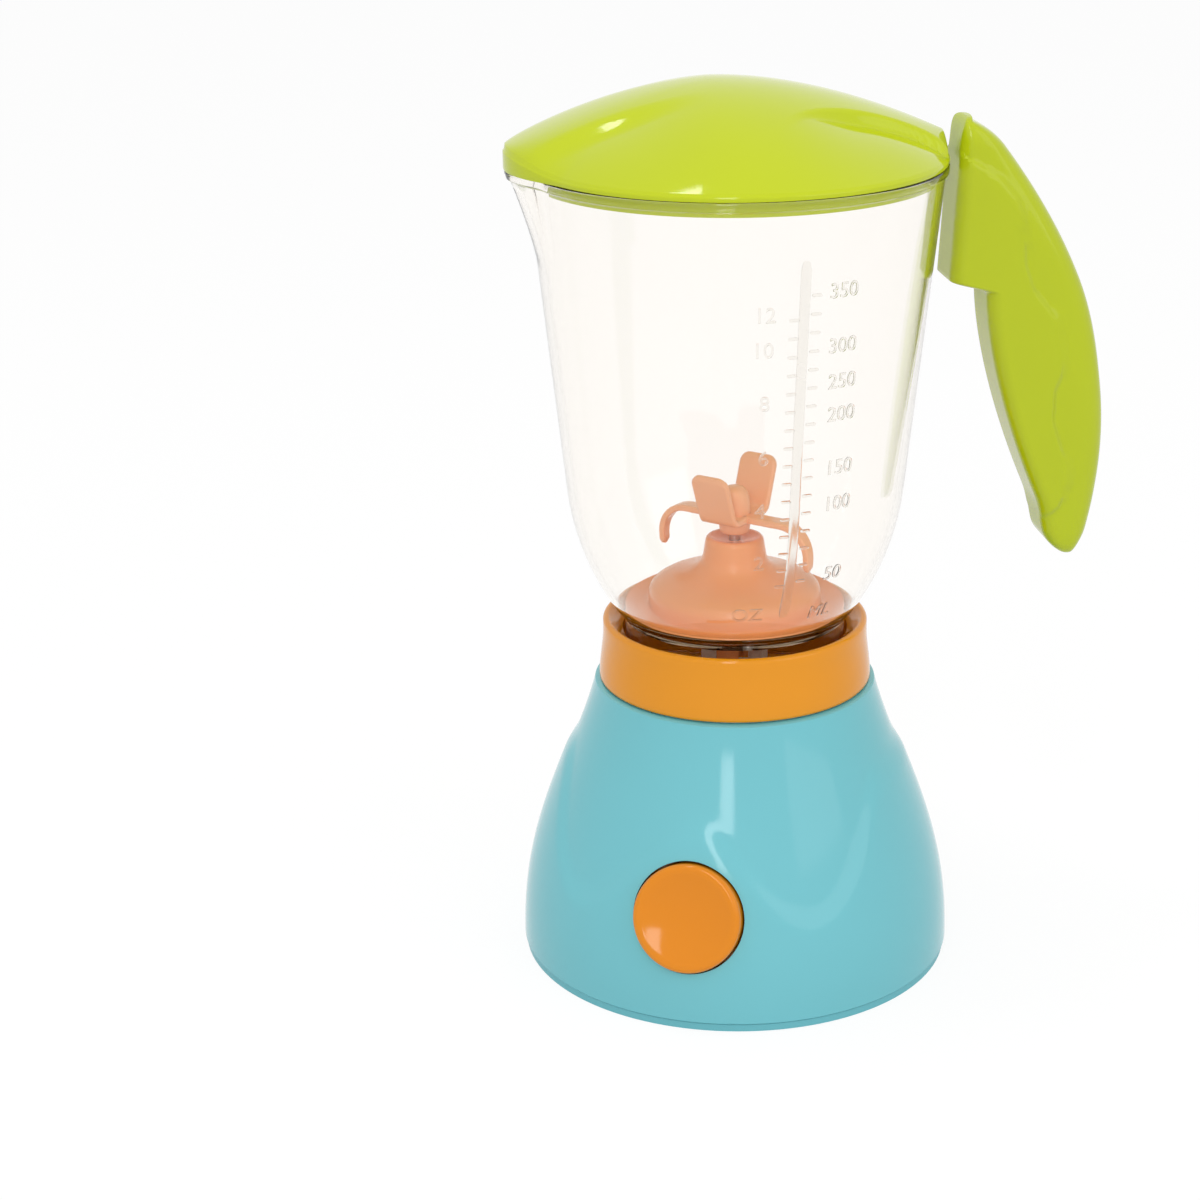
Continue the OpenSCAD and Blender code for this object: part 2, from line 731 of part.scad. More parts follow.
// Two leaves behind the bracket, one over the other, where the plunger ends its travel
module switch_blades() {
    foot_z = -bracket_depth - bracket_t;
    w = leaf_w;
    color([0.85, 0.65, 0.35]) in_button() for (side = [-1, 1]) {
        leaf_z = -plunger_l - button_travel - 0.3 - leaf_t - (side > 0 ? 0 : leaf_step);
        near = switch_x - w / 2;
        leaf_l = near + 1.5;
        translate([side * switch_x - w / 2, -w / 2, foot_z - leaf_t]) cube([w, w, leaf_t]);
        translate([side > 0 ? near : -near - leaf_t, -w / 2, leaf_z]) cube([leaf_t, w, foot_z - leaf_z]);
        translate([side > 0 ? near - leaf_l : -near - leaf_t, -w / 2, leaf_z]) cube([leaf_l, w, leaf_t]);
    }
}

module button_spring() {
    color([0.75, 0.76, 0.78]) in_button() translate([0, 0, -bracket_depth + 0.05])
        tube(button_spring_r, button_spring_r - 0.7, bracket_depth - button_top_t + button_out - 0.15);
}

// ---------- battery door ----------

module battery_door() {
    color([0.44, 0.73, 0.79]) difference() {
        union() {
            difference() {
                translate([0, well_y, door_inset]) rounded_slab(door_l, door_w, 2, door_t);
                translate([-door_l / 2, well_y, door_inset]) rotate([0, -45, 0])
                    translate([0, -door_w / 2, 0]) cube([2 * door_t, door_w, 2 * door_t]);
            }
            for (side = [-1, 1]) translate([hinge_x, well_y + side * tab_y, hinge_z]) {
                rotate([90, 0, 0]) cylinder(r = tab_r, h = tab_w, center = true);
                translate([0, -tab_w / 2, -tab_r]) cube([tab_l, tab_w, 2 * tab_r]);
            }
        }
        translate([door_screw_x, well_y, 0]) cylinder(r = screw_r, h = 6);
        translate([door_screw_x, well_y, door_inset - overlap])
            cylinder(r = screw_head_r + 0.2, h = door_t / 2 + overlap);
    }
}

module door_screw() {
    color([0.62, 0.63, 0.65]) translate([door_screw_x, well_y, door_inset + door_t / 2])
        screw_up(screw_r, door_screw_l - 0.5, screw_head_r, door_t / 2 - 0.05);
}

// ---------- button ----------

module button() {
    dish_r = button_r - 2;
    dish = 1;
    ball = (dish_r * dish_r + dish * dish) / (2 * dish);
    color([0.90, 0.56, 0.13]) in_button() difference() {
        rotate_extrude() polygon(concat(
            [[0, -skirt_l - flange_t], [flange_r, -skirt_l - flange_t],
             [flange_r, -skirt_l], [button_r, -skirt_l]],
            [for (a = [0:15:90]) [button_r - 1.2 + 1.2 * cos(a), button_out - 1.2 + 1.2 * sin(a)]],
            [[0, button_out]]));
        translate([0, 0, button_out - dish + ball]) sphere(ball, $fn = 96);
        translate([0, 0, -skirt_l - flange_t - 1])
            cylinder(r = button_r - 1.8, h = skirt_l + flange_t + 1 + button_out - button_top_t);
    }
}

module button_plunger() {
    color([0.93, 0.92, 0.88]) in_button() translate([0, 0, -plunger_l]) {
        cylinder(r = plunger_r, h = plunger_l + button_out - button_top_t);
        translate([0, 0, plunger_l + button_out - button_top_t - 1.2])
            cylinder(r = plunger_r + 1.6, h = 1.2);
    }
}

// ---------- drive ----------

module output_gear() {
    color([0.96, 0.96, 0.94]) {
        translate([0, 0, output_z]) gear(large_teeth, output_phase, small_face, shaft_r);
        translate([0, 0, box_floor_z + gear_gap])
            tube(shaft_r + 1, shaft_r, output_z - box_floor_z - gear_gap);
    }
}

module drive_shaft() {
    color([0.75, 0.76, 0.78]) translate([0, 0, box_z + 0.6])
        cylinder(r = shaft_r, h = dog_z + dog_disc_t - box_z - 0.6);
}

// A disc with two tall lugs, half a turn apart
module dog(disc_z, lug_z, turn, bore) {
    difference() {
        union() {
            translate([0, 0, disc_z]) cylinder(r = dog_r, h = dog_disc_t);
            low = min(disc_z, lug_z);
            high = max(disc_z + dog_disc_t, lug_z + dog_lug_h);
            for (k = [0:1]) rotate(turn + 180 * k - dog_lug_angle / 2) translate([0, 0, low])
                rotate_extrude(angle = dog_lug_angle) translate([dog_lug_in, 0])
                    square([dog_r - 0.1 - dog_lug_in, high - low]);
        }
        translate([0, 0, disc_z - overlap]) cylinder(r = bore, h = dog_disc_t + 2 * overlap);
    }
}

module drive_dog() {
    color([0.93, 0.92, 0.88]) dog(dog_z, dog_z + dog_disc_t, 0, shaft_r);
}

module compound_gear() {
    color([0.96, 0.96, 0.94]) translate([compound_x, compound_y, 0]) {
        translate([0, 0, large_z]) gear(large_teeth, compound_large_phase, large_face, gear_pin_r + run_gap);
        translate([0, 0, large_z + large_face]) gear(small_teeth, compound_small_phase,
            output_z + small_face - large_z - large_face, gear_pin_r + run_gap);
    }
}

module motor_shaft() {
    color([0.75, 0.76, 0.78]) translate([motor_x, motor_y, box_z - motor_can_l - motor_cap_l + 2])
        cylinder(r = motor_shaft_r, h = large_z + large_face - box_z + motor_can_l + motor_cap_l - 2);
}

module motor_pinion() {
    color([0.93, 0.80, 0.35]) translate([motor_x, motor_y, large_z])
        gear(pinion_teeth, pinion_phase, large_face, motor_shaft_r);
}

// ---------- jar ----------

module spout_plan(inset) {
    side = 4;
    tip = 7;
    for (a = [-spout_half, spout_half]) rotate(180 + a)
        translate([rim_r - side - spout_sink, 0]) circle(side - inset, $fn = 24);
    translate([-spout_reach + tip, 0]) circle(tip - inset, $fn = 24);
}

// The pouring spout as a solid, rounded at its foot, or the room in it
module spout_form(inset, high) {
    foot = 3;
    hull() {
        translate([0, 0, rim_z - spout_lip]) linear_extrude(spout_lip + high) spout_plan(inset);
        translate([-(jar_r(rim_z - spout_drop) - foot - spout_sink), 0, rim_z - spout_drop])
            sphere(foot - inset, $fn = 24);
    }
}

// Half outline of the jar, foot, belly, straight wall and rim bead, closed on the axis
module jar_outline() {
    bead_low = rim_z - bead_h;
    bead_r = rim_r + bead_t;
    polygon(concat(
        [[0, jar_foot_z], [jar_foot_r, jar_foot_z], [jar_foot_r, floor_z - 1.2]],
        [for (k = [0:belly_steps]) let (z = floor_z + (belly_z - floor_z) * k / belly_steps) [jar_r(z), z]],
        [[jar_r(bead_low), bead_low], [bead_r, bead_low + bead_t], [bead_r, rim_z - 0.4],
         [bead_r - 0.4, rim_z], [0, rim_z]]));
}

// Half outline of the space inside the jar, down to its floor
module jar_room() {
    inner_floor_r = jar_r(floor_z + 2) - jar_wall - 2;
    polygon(concat(
        [[0, floor_z], [inner_floor_r, floor_z]],
        [for (k = [1:belly_steps]) let (z = floor_z + (belly_z - floor_z) * k / belly_steps)
            [jar_r(z) - jar_wall, z]],
        [[rim_r - jar_wall, rim_z], [rim_r - jar_wall, rim_z + 1], [0, rim_z + 1]]));
}

// A raised strip that follows the jar wall between two heights
module wall_strip(low, high, rise, width_angle) {
    steps = 10;
    rotate(-width_angle / 2) rotate_extrude(angle = width_angle) polygon(concat(
        [for (k = [0:steps]) let (z = low + (high - low) * k / steps) [jar_r(z) - 0.4, z]],
        [for (k = [steps:-1:0]) let (z = low + (high - low) * k / steps) [jar_r(z) + rise, z]]));
}

module scale_ticks(low, count, side) {
    rotate(side > 0 ? bar_half_angle / 2 : -bar_half_angle / 2 - tick_angle)
        rotate_extrude(angle = tick_angle)
            for (k = [0:count - 1]) let (z = low + k * tick_pitch, t = z + tick_t) polygon([
                [jar_r(z) - 0.4, z], [jar_r(z) + 0.5, z], [jar_r(t) + 0.5, t], [jar_r(t) - 0.4, t]]);
}

// The rail that carries the handle, with a web from the wall and a wider head, or the slot for it
module rail_shape(gap) {
    low = rim_z - rail_drop - gap;
    high = rim_z - rail_top_drop + gap;
    out = rail_head_in + rail_head_t + gap;
    rail_part(rail_w + 2 * gap, [[jar_r(low) - 1, low], [block_in(low) + out, low],
        [block_in(high) + out, high], [jar_r(high) - 1, high]]);
    rail_part(rail_head_w + 2 * gap, [[block_in(low) + rail_head_in - gap, low], [block_in(low) + out, low],
        [block_in(high) + out, high], [block_in(high) + rail_head_in - gap, high]]);
}

module rail_part(w, outline) {
    rotate([90, 0, 0]) translate([0, 0, -w / 2]) linear_extrude(w) polygon(outline);
}

module jar() {
    color([0.92, 0.95, 0.96, 0.45]) in_jar() {
        difference() {
            union() {
                rotate_extrude($fn = 96) jar_outline();
                spout_form(0, -spout_low);
                for (k = [0:2]) rotate(slot_middle - jar_turn + 120 * k - lug_angle / 2)
                    translate([0, 0, lug_z]) rotate_extrude(angle = lug_angle)
                        translate([jar_foot_r - 1, 0]) square([lug_reach + 1, lug_t]);
            }
            rotate_extrude($fn = 96) jar_room();
            spout_form(jar_wall, 5);
            translate([0, 0, jar_foot_z - 1])
                cylinder(r = jar_foot_r - foot_wall, h = floor_z - floor_t - jar_foot_z + 1);
            cylinder(r = axle_bush_r, h = floor_z + 1);
            for (a = stand_screw_angles) rotate(a) translate([stand_screw_r, 0, floor_z - floor_t - 1])
                cylinder(r = screw_r + 0.1, h = floor_t + 2);
        }
        rotate(bar_angle) {
            wall_strip(bar_low_z, bar_high_z, 0.8, 2 * bar_half_angle);
            scale_ticks(bar_low_z + 11.6, 17, 1);
            scale_ticks(bar_low_z + 10.4, 16, -1);
        }
        rail_shape(0);
    }
}

module axle_bush() {
    color([0.93, 0.92, 0.88]) {
        translate([0, 0, floor_z - floor_t]) tube(axle_bush_r, axle_r + run_gap, floor_t);
        translate([0, 0, floor_z - floor_t - 1]) tube(axle_bush_r + 2, axle_r + run_gap, 1);
    }
}

// ---------- handle ----------

function signed_power(v, e) = sign(v) * pow(abs(v), e);

// One level section of the handle, as a rounded block between its inner and outer reach
function handle_ring(z, inset) = let (
    low = z < bulge_z,
    end_gap = low ? (z - handle_tip) / tip_round : (handle_top - z) / top_round,
    end = min(1, sqrt(max(0.02, end_gap))),
    inner = handle_in(z) + inset,
    outer = max(handle_out(z) - inset - (low ? 0 : 3 * (1 - end)), inner + 1),
    middle = (inner + outer) / 2 + (low ? 1.5 * (1 - end) : 0),
    reach = (outer - inner) / 2 * (low ? end : 1),
    half = (handle_w / 2 - inset) * (0.45 + 0.55 * end))
    [for (i = [0:handle_points - 1]) let (a = 360 * (i + 0.5) / handle_points, e = cos(a) > 0 ? 0.7 : 0.4)
        [middle + reach * signed_power(cos(a), e), half * signed_power(sin(a), e), z]];

module handle_form(inset, low, high, levels) {
    heights = concat(
        [for (k = [0:levels]) low + (min(high, grip_top) - low) * pow(k / levels, 0.85)],
        high > grip_top ? [for (k = [1:4]) grip_top + block_slope * k / 4] : [],
        high > grip_top ? [for (k = [1:levels]) grip_top + block_slope
            + (high - grip_top - block_slope) * (1 - pow(1 - k / levels, 1.6))] : []);
    polyhedron([for (z = heights) each handle_ring(z, inset)], stack_faces(len(heights), handle_points));
}

module handle_half(side) {
    color([0.76, 0.81, 0.16]) in_jar() difference() {
        handle_form(0, handle_tip, handle_top, 9);
        difference() {
            handle_form(handle_wall, handle_tip + 6, grip_top - 3, 6);
            for (z = handle_screw_zs) handle_post(z, handle_post_r);
        }
        rail_shape(snug_gap);
        for (z = handle_screw_zs) {
            handle_post(z, screw_r);
            if (side > 0) handle_post_from(z, handle_w / 2 - screw_seat, screw_head_r + 0.2);
        }
        translate([0, side > 0 ? -50 : 0, handle_tip - 5]) cube([200, 50, handle_l + 10]);
    }
}

module handle_post(z, r) {
    translate([(handle_in(z) + handle_out(z)) / 2, 0, z]) rotate([90, 0, 0])
        cylinder(r = r, h = handle_w - 3, center = true);
}

module handle_post_from(z, y, r) {
    translate([(handle_in(z) + handle_out(z)) / 2, y + 20, z]) rotate([90, 0, 0]) cylinder(r = r, h = 20);
}

module handle_front() {
    handle_half(-1);
}

module handle_rear() {
    handle_half(1);
}

module handle_screws() {
    color([0.62, 0.63, 0.65]) in_jar() for (z = handle_screw_zs)
        translate([(handle_in(z) + handle_out(z)) / 2, handle_w / 2 - screw_seat, z]) rotate([90, 0, 0])
            screw_up(screw_r, handle_w - screw_seat - 3.4, screw_head_r, screw_head_t);
}

// ---------- blade stand and rotor ----------

module stand_outline(inset) {
    polygon(concat(
        [[0, inset > 0 ? -overlap : 0], [stand_r - inset, inset > 0 ? -overlap : 0]],
        [[stand_r - inset, stand_side_h - inset / 2]],
        [for (a = [20:20:80]) [stand_r - inset - 3.5 * (1 - cos(a)),
            stand_side_h - inset / 2 + 2.6 * sin(a)]],
        [[stem_r + 6.5 - inset, stand_side_h + 4.6 - inset]],
        [for (a = [75:-25:0]) [stem_low_r + 3.3 - 3.2 * cos(a) - inset,
            stand_side_h + 10.2 - inset - 4.6 * sin(a)]],
        [[stem_r - inset, stand_h - 0.8 - inset], [stem_r - 0.8 - inset, stand_h - inset],
         [0, stand_h - inset]]));
}

module blade_stand() {
    color([0.93, 0.62, 0.45]) translate([0, 0, floor_z]) difference() {
        rotate_extrude() stand_outline(0);
        difference() {
            rotate_extrude() stand_outline(stand_wall);
            translate([0, 0, -1]) cylinder(r = stand_tube_r, h = stand_h);
            for (a = stand_screw_angles) rotate(jar_turn + a) translate([stand_screw_r, 0, -1])
                cylinder(r = screw_r + 1.4, h = stand_h);
        }
        for (a = stand_screw_angles) rotate(jar_turn + a) translate([stand_screw_r, 0, -overlap])
            cylinder(r = screw_r, h = stand_side_h);
        translate([0, 0, -1]) cylinder(r = axle_r + run_gap, h = stand_h + 2);
        translate([0, 0, stand_h - 1.2]) cylinder(r1 = axle_r + 0.8, r2 = stem_r - 1.6, h = 1.2 + overlap);
    }
}

module stand_screws() {
    color([0.62, 0.63, 0.65]) translate([0, 0, floor_z - floor_t]) for (a = stand_screw_angles)
        rotate(jar_turn + a) translate([stand_screw_r, 0, 0])
            screw_up(screw_r, floor_t + stand_side_h - 1, screw_head_r, screw_head_t);
}

module blade_rotor() {
    color([0.93, 0.50, 0.22]) rotate(blade_turn) difference() {
        union() {
            translate([0, 0, hub_z]) cylinder(r = hub_r, h = hub_h);
            translate([0, 0, blade_z]) {
                for (k = [0, 180]) rotate(k) paddle();
                for (k = [90, 270]) rotate(k) hook();
            }
        }
        translate([0, 0, hub_z - 1]) cylinder(r = axle_r, h = hub_h - 1.5);
    }
}

// A flat arm that turns up into a rounded paddle
module paddle() {
    translate([paddle_foot / 2, 0, -blade_t / 2]) linear_extrude(blade_t)
        square([paddle_foot, paddle_w], center = true);
    translate([paddle_foot, 0, 0]) rotate([0, -paddle_lean, 0])
        translate([paddle_h / 2 - 1, 0, -blade_t / 2]) rounded_slab(paddle_h, paddle_w, 3, blade_t);
}

// A straight arm that turns down into a curved hook
module hook() {
    arm = blade_r - hook_radius;
    translate([0, -hook_w / 2, -blade_t / 2]) cube([arm, hook_w, blade_t]);
    translate([arm, hook_w / 2, -hook_radius]) rotate([90, 0, 0]) rotate_extrude(angle = 90)
        translate([hook_radius - blade_t / 2, 0]) square([blade_t, hook_w]);
    translate([blade_r, 0, -hook_radius]) rotate([0, 90, 0]) translate([0, 0, -blade_t / 2])
        linear_extrude(blade_t) polygon([[0, -hook_w / 2], [hook_w, 0], [0, hook_w / 2]]);
}

module blade_axle() {
    color([0.75, 0.76, 0.78]) translate([0, 0, driven_disc_z])
        cylinder(r = axle_r, h = hub_z + hub_h - 2.5 - driven_disc_z);
}

module driven_dog() {
    color([0.93, 0.62, 0.45]) dog(driven_disc_z, driven_lug_z, 90, axle_r);
}

// ---------- lid ----------

// Reach and height of the lid edge at an angle, both more over the spout
function over_spout(a) = let (b = abs((a + 360) % 360 - 180))
    pow(max(0, cos(min(90, b * 90 / (1.9 * spout_half)))), 1.6);
function lid_edge_r(a) = lid_reach + (spout_reach + lid_edge_out - lid_reach) * over_spout(a);
function lid_edge_h(a) = lid_edge_t + lid_tab_h * over_spout(a);

// Height of the ridge above the rim along the line from the spout to the handle
function ridge_h(x) = x < ridge_peak_x ?
    lid_rise - (lid_rise - ridge_spout_h)
        * pow((ridge_peak_x - x) / (spout_reach + lid_edge_out + ridge_peak_x), 1.7) :
    lid_rise - (lid_rise - ridge_handle_h)
        * pow((x - ridge_peak_x) / (lid_reach - ridge_peak_x), 1.8);

// Half width of the raised band along that line
function band_w(x) = x < scoop_flat_x ? band_half :
    band_half + band_spread * pow(max(0, band_spread_from - x) / band_spread_run, 2.2);

// Depth of the scoop beside the band, steep at the band and running out at the edge
function scoop_h(x, y, half) = let (
    past = abs(y) - band_w(x),
    left = max(0, min(1, 1 - past / max(half - band_w(x), 1))),
    ends = smooth((abs(x - scoop_flat_x) - 6) / 26) * smooth((x + spout_reach + 2) / 14))
    lid_scoop * ends * smooth(past / scoop_slope) * pow(left, 1.1);
function lid_h(x, y, half, edge_h) = let (v = min(1, abs(y) / max(half, 1)))
    max(edge_h, edge_h + (ridge_h(x) - edge_h) * (1 - v * v) - scoop_h(x, y, half));
function lid_top(a, r) = let (edge = lid_edge_r(a), edge_h = lid_edge_h(a), x = r * cos(a), y = r * sin(a))
    rim_z + seat_gap + (r > edge - 0.01 ? edge_h : lid_h(x, y, sqrt(max(1, edge * edge - x * x)), edge_h));
function lid_under(a, r) = lid_top(a, r) - lid_wall;

// 1 where the skirt stands, 0 where it is open to the spout
function skirt_stands(a) = abs((a + 360) % 360 - 180) > spout_half + 2 ? 1 : 0;

// The shell and the skirt under it, as rings from the middle of the underside out, round the edge
// and back over the top
module lid() {
    skirt_r = rim_r - jar_wall - wall_lean * skirt_h - 0.4;
    skirt_in = skirt_r - skirt_wall;
    seat_z = rim_z + seat_gap;
    foot_z = rim_z - skirt_h;
    angles = [for (i = [0:lid_around - 1]) 360 * i / lid_around];
    under = [for (k = [1:under_rings]) let (r = skirt_in * sin(90 * k / under_rings))
        [for (a = angles) [r, lid_under(a, r)]]];
    skirt = [
        [for (a = angles) [skirt_in, skirt_stands(a) > 0 ? foot_z : lid_under(a, skirt_in) - skirt_step]],
        [for (a = angles) [skirt_r, skirt_stands(a) > 0 ? foot_z : lid_under(a, skirt_r) - skirt_step]],
        [for (a = angles) [skirt_r, lid_under(a, skirt_r)]],
        [for (a = angles) [lid_edge_r(a) - lid_seat_w, seat_z]],
        [for (a = angles) [lid_edge_r(a), seat_z]]];
    top = [for (k = [lid_rings:-1:1]) [for (a = angles) let (r = lid_edge_r(a) * sin(90 * k / lid_rings))
        [r, lid_top(a, r)]]];
    rings = concat(under, skirt, top);
    n = lid_around;
    last = (len(rings) - 1) * n;
    color([0.81, 0.86, 0.18]) in_jar() polyhedron(
        concat(
            [for (ring = rings, i = [0:n - 1]) [each on_circle(ring[i][0], angles[i]), ring[i][1]]],
            [[0, 0, lid_under(0, 0)], [0, 0, lid_top(0, 0)]]),
        concat(
            side_faces(len(rings), n),
            [for (i = [0:n - 1]) [i, (i + 1) % n, last + n]],
            [for (i = [0:n - 1]) [last + (i + 1) % n, last + i, last + n + 1]]));
}

base_shell();
collar();
bottom_plate();
case_screws();
collar_screws();
drive_bush();
gearbox_case();
gearbox_lid();
gearbox_screws();
gear_pin();
motor_can();
motor_cap();
cell_front();
cell_rear();
battery_springs();
battery_contacts();
switch_bracket();
bracket_screws();
switch_blades();
button_spring();
battery_door();
door_screw();
button();
button_plunger();
output_gear();
drive_shaft();
drive_dog();
compound_gear();
motor_shaft();
motor_pinion();
jar();
handle_front();
handle_rear();
handle_screws();
blade_stand();
stand_screws();
axle_bush();
blade_rotor();
blade_axle();
driven_dog();
lid();
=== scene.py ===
# Looks of the toy blender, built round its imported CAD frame. Sizes are in mm, objects in metres.
import json
import math

import bpy
from mathutils import Matrix, Vector


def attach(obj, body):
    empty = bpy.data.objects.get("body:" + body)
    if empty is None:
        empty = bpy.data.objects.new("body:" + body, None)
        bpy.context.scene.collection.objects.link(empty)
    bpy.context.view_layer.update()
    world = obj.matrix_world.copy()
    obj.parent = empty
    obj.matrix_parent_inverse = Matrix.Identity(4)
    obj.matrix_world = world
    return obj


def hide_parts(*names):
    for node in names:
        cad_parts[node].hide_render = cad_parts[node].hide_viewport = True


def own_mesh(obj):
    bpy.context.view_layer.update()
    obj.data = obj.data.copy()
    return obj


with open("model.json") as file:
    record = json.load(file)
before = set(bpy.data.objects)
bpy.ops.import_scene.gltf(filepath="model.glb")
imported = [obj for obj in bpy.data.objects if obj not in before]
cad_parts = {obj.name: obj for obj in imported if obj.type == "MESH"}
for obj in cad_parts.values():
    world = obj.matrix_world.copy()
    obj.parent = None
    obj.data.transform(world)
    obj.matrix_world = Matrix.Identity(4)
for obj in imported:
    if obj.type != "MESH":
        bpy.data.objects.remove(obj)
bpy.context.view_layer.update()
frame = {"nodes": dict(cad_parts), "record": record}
mm = 0.001

# What the pieces share with the CAD frame
shared = {
    "baseHeight": 81,
    "rim": 225,             # top of the jar
    "jarTurn": 23,          # degrees of the jar, handle and lid about Z
    "buttonHeight": 31.6,
    "buttonTilt": 17,
    "buttonRadius": 14.8,
}
jarSpin = Matrix.Rotation(math.radians(shared["jarTurn"]), 4, "Z")


def clearSelection():
    if bpy.context.object and bpy.context.object.mode != "OBJECT":
        bpy.ops.object.mode_set(mode="OBJECT")
    bpy.ops.object.select_all(action="DESELECT")


def pick(piece):
    clearSelection()
    piece.select_set(True)
    bpy.context.view_layer.objects.active = piece


def smooth(t):
    c = max(0.0, min(1.0, t))
    return c * c * (3 - 2 * c)


def mix(a, b, t):
    return a + (b - a) * t


def polar(r, degrees):
    return r * math.cos(math.radians(degrees)), r * math.sin(math.radians(degrees))


# Turns a profile of (radius, height) pairs about Z, ring by ring; closed joins its last ring to its first
def turnProfile(name, profile, steps=128, closed=True):
    clearSelection()
    r, z = profile[0]
    bpy.ops.mesh.primitive_circle_add(vertices=steps, radius=r * mm, location=(0, 0, z * mm))
    piece = bpy.context.object
    piece.name = piece.data.name = name
    bpy.ops.object.transform_apply(location=True, rotation=True, scale=True)
    bpy.ops.object.mode_set(mode="EDIT")
    bpy.ops.mesh.select_all(action="SELECT")
    if not closed:
        bpy.ops.mesh.edge_face_add()
        bpy.ops.mesh.select_all(action="DESELECT")
        bpy.ops.mesh.select_mode(type="EDGE")
        bpy.ops.mesh.select_all(action="SELECT")
        bpy.ops.mesh.region_to_loop()
    for nextR, nextZ in profile[1:]:
        bpy.ops.mesh.extrude_edges_move(TRANSFORM_OT_translate={"value": (0, 0, (nextZ - z) * mm)})
        k = nextR / r
        bpy.ops.transform.resize(value=(k, k, 1), center_override=(0, 0, 0))
        r, z = nextR, nextZ
    if closed:
        bpy.ops.mesh.select_all(action="DESELECT")
        bpy.ops.mesh.select_mode(type="EDGE")
        bpy.ops.mesh.select_non_manifold()
        bpy.ops.mesh.bridge_edge_loops()
    else:
        bpy.ops.mesh.edge_face_add()
    bpy.ops.mesh.select_all(action="SELECT")
    bpy.ops.mesh.normals_make_consistent(inside=False)
    bpy.ops.object.mode_set(mode="OBJECT")
    return piece


# Does one step in edit mode on a whole piece
def editWhole(piece, work):
    pick(piece)
    bpy.ops.object.mode_set(mode="EDIT")
    bpy.ops.mesh.select_all(action="SELECT")
    work()
    bpy.ops.object.mode_set(mode="OBJECT")
    return piece


# A cube from -1 to 1, cut into small faces, that shape() then forms
def gridCube(name, cuts):
    clearSelection()
    bpy.ops.mesh.primitive_cube_add(size=2 * mm)
    piece = bpy.context.object
    piece.name = piece.data.name = name
    return editWhole(piece, lambda: bpy.ops.mesh.subdivide(number_cuts=cuts))


def copyOf(piece, name):
    twin = piece.copy()
    twin.data = piece.data.copy()
    twin.name = twin.data.name = name
    bpy.context.scene.collection.objects.link(twin)
    return twin


# A point of such a cube on a plate with round corners and edges, lying flat round its middle
def platePoint(p, length, width, thick, corner, edge):
    x, y = p.x * length / 2, p.y * width / 2
    inside = max(0.0, min(length / 2 - abs(x), width / 2 - abs(y)))
    outX, outY = abs(x) - (length / 2 - corner), abs(y) - (width / 2 - corner)
    if outX > 0 and outY > 0:
        k = max(outX, outY) / math.hypot(outX, outY) - 1
        x += math.copysign(1, x) * outX * k
        y += math.copysign(1, y) * outY * k
    lift = 1 - min(1.0, inside / edge)
    return x, y, p.z * (thick / 2 - edge + edge * math.sqrt(1 - lift * lift))


def moveMesh(piece, matrix):
    piece.data.transform(matrix)
    piece.data.update()
    return piece


def shape(piece, move):
    for v in piece.data.vertices:
        v.co = move(v.co / mm) * mm
    piece.data.update()
    return piece


def modify(piece, kind, **settings):
    pick(piece)
    m = piece.modifiers.new(kind.lower(), kind)
    for key, value in settings.items():
        setattr(m, key, value)
    bpy.ops.object.modifier_apply(modifier=m.name)
    return piece


def cutWith(piece, tool, operation="DIFFERENCE"):
    modify(piece, "BOOLEAN", object=tool, operation=operation, solver="EXACT")
    bpy.data.objects.remove(tool)
    return piece


def joinPieces(pieces, name):
    clearSelection()
    for p in pieces:
        p.select_set(True)
    bpy.context.view_layer.objects.active = pieces[0]
    bpy.ops.object.join()
    pieces[0].name = pieces[0].data.name = name
    return pieces[0]


# Gives a piece its shading, material and body, and hides the nodes that it stands for
def place(piece, body, material, nodes=(), angle=50):
    pick(piece)
    bpy.ops.object.shade_smooth_by_angle(angle=math.radians(angle))
    piece.data.materials.clear()
    piece.data.materials.append(material)
    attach(piece, body)
    if nodes:
        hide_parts(*nodes)


def mathNode(nodes, operation, values=(), clamp=False):
    node = nodes.new("ShaderNodeMath")
    node.operation = operation
    node.use_clamp = clamp
    for socket, value in values:
        node.inputs[socket].default_value = value
    return node


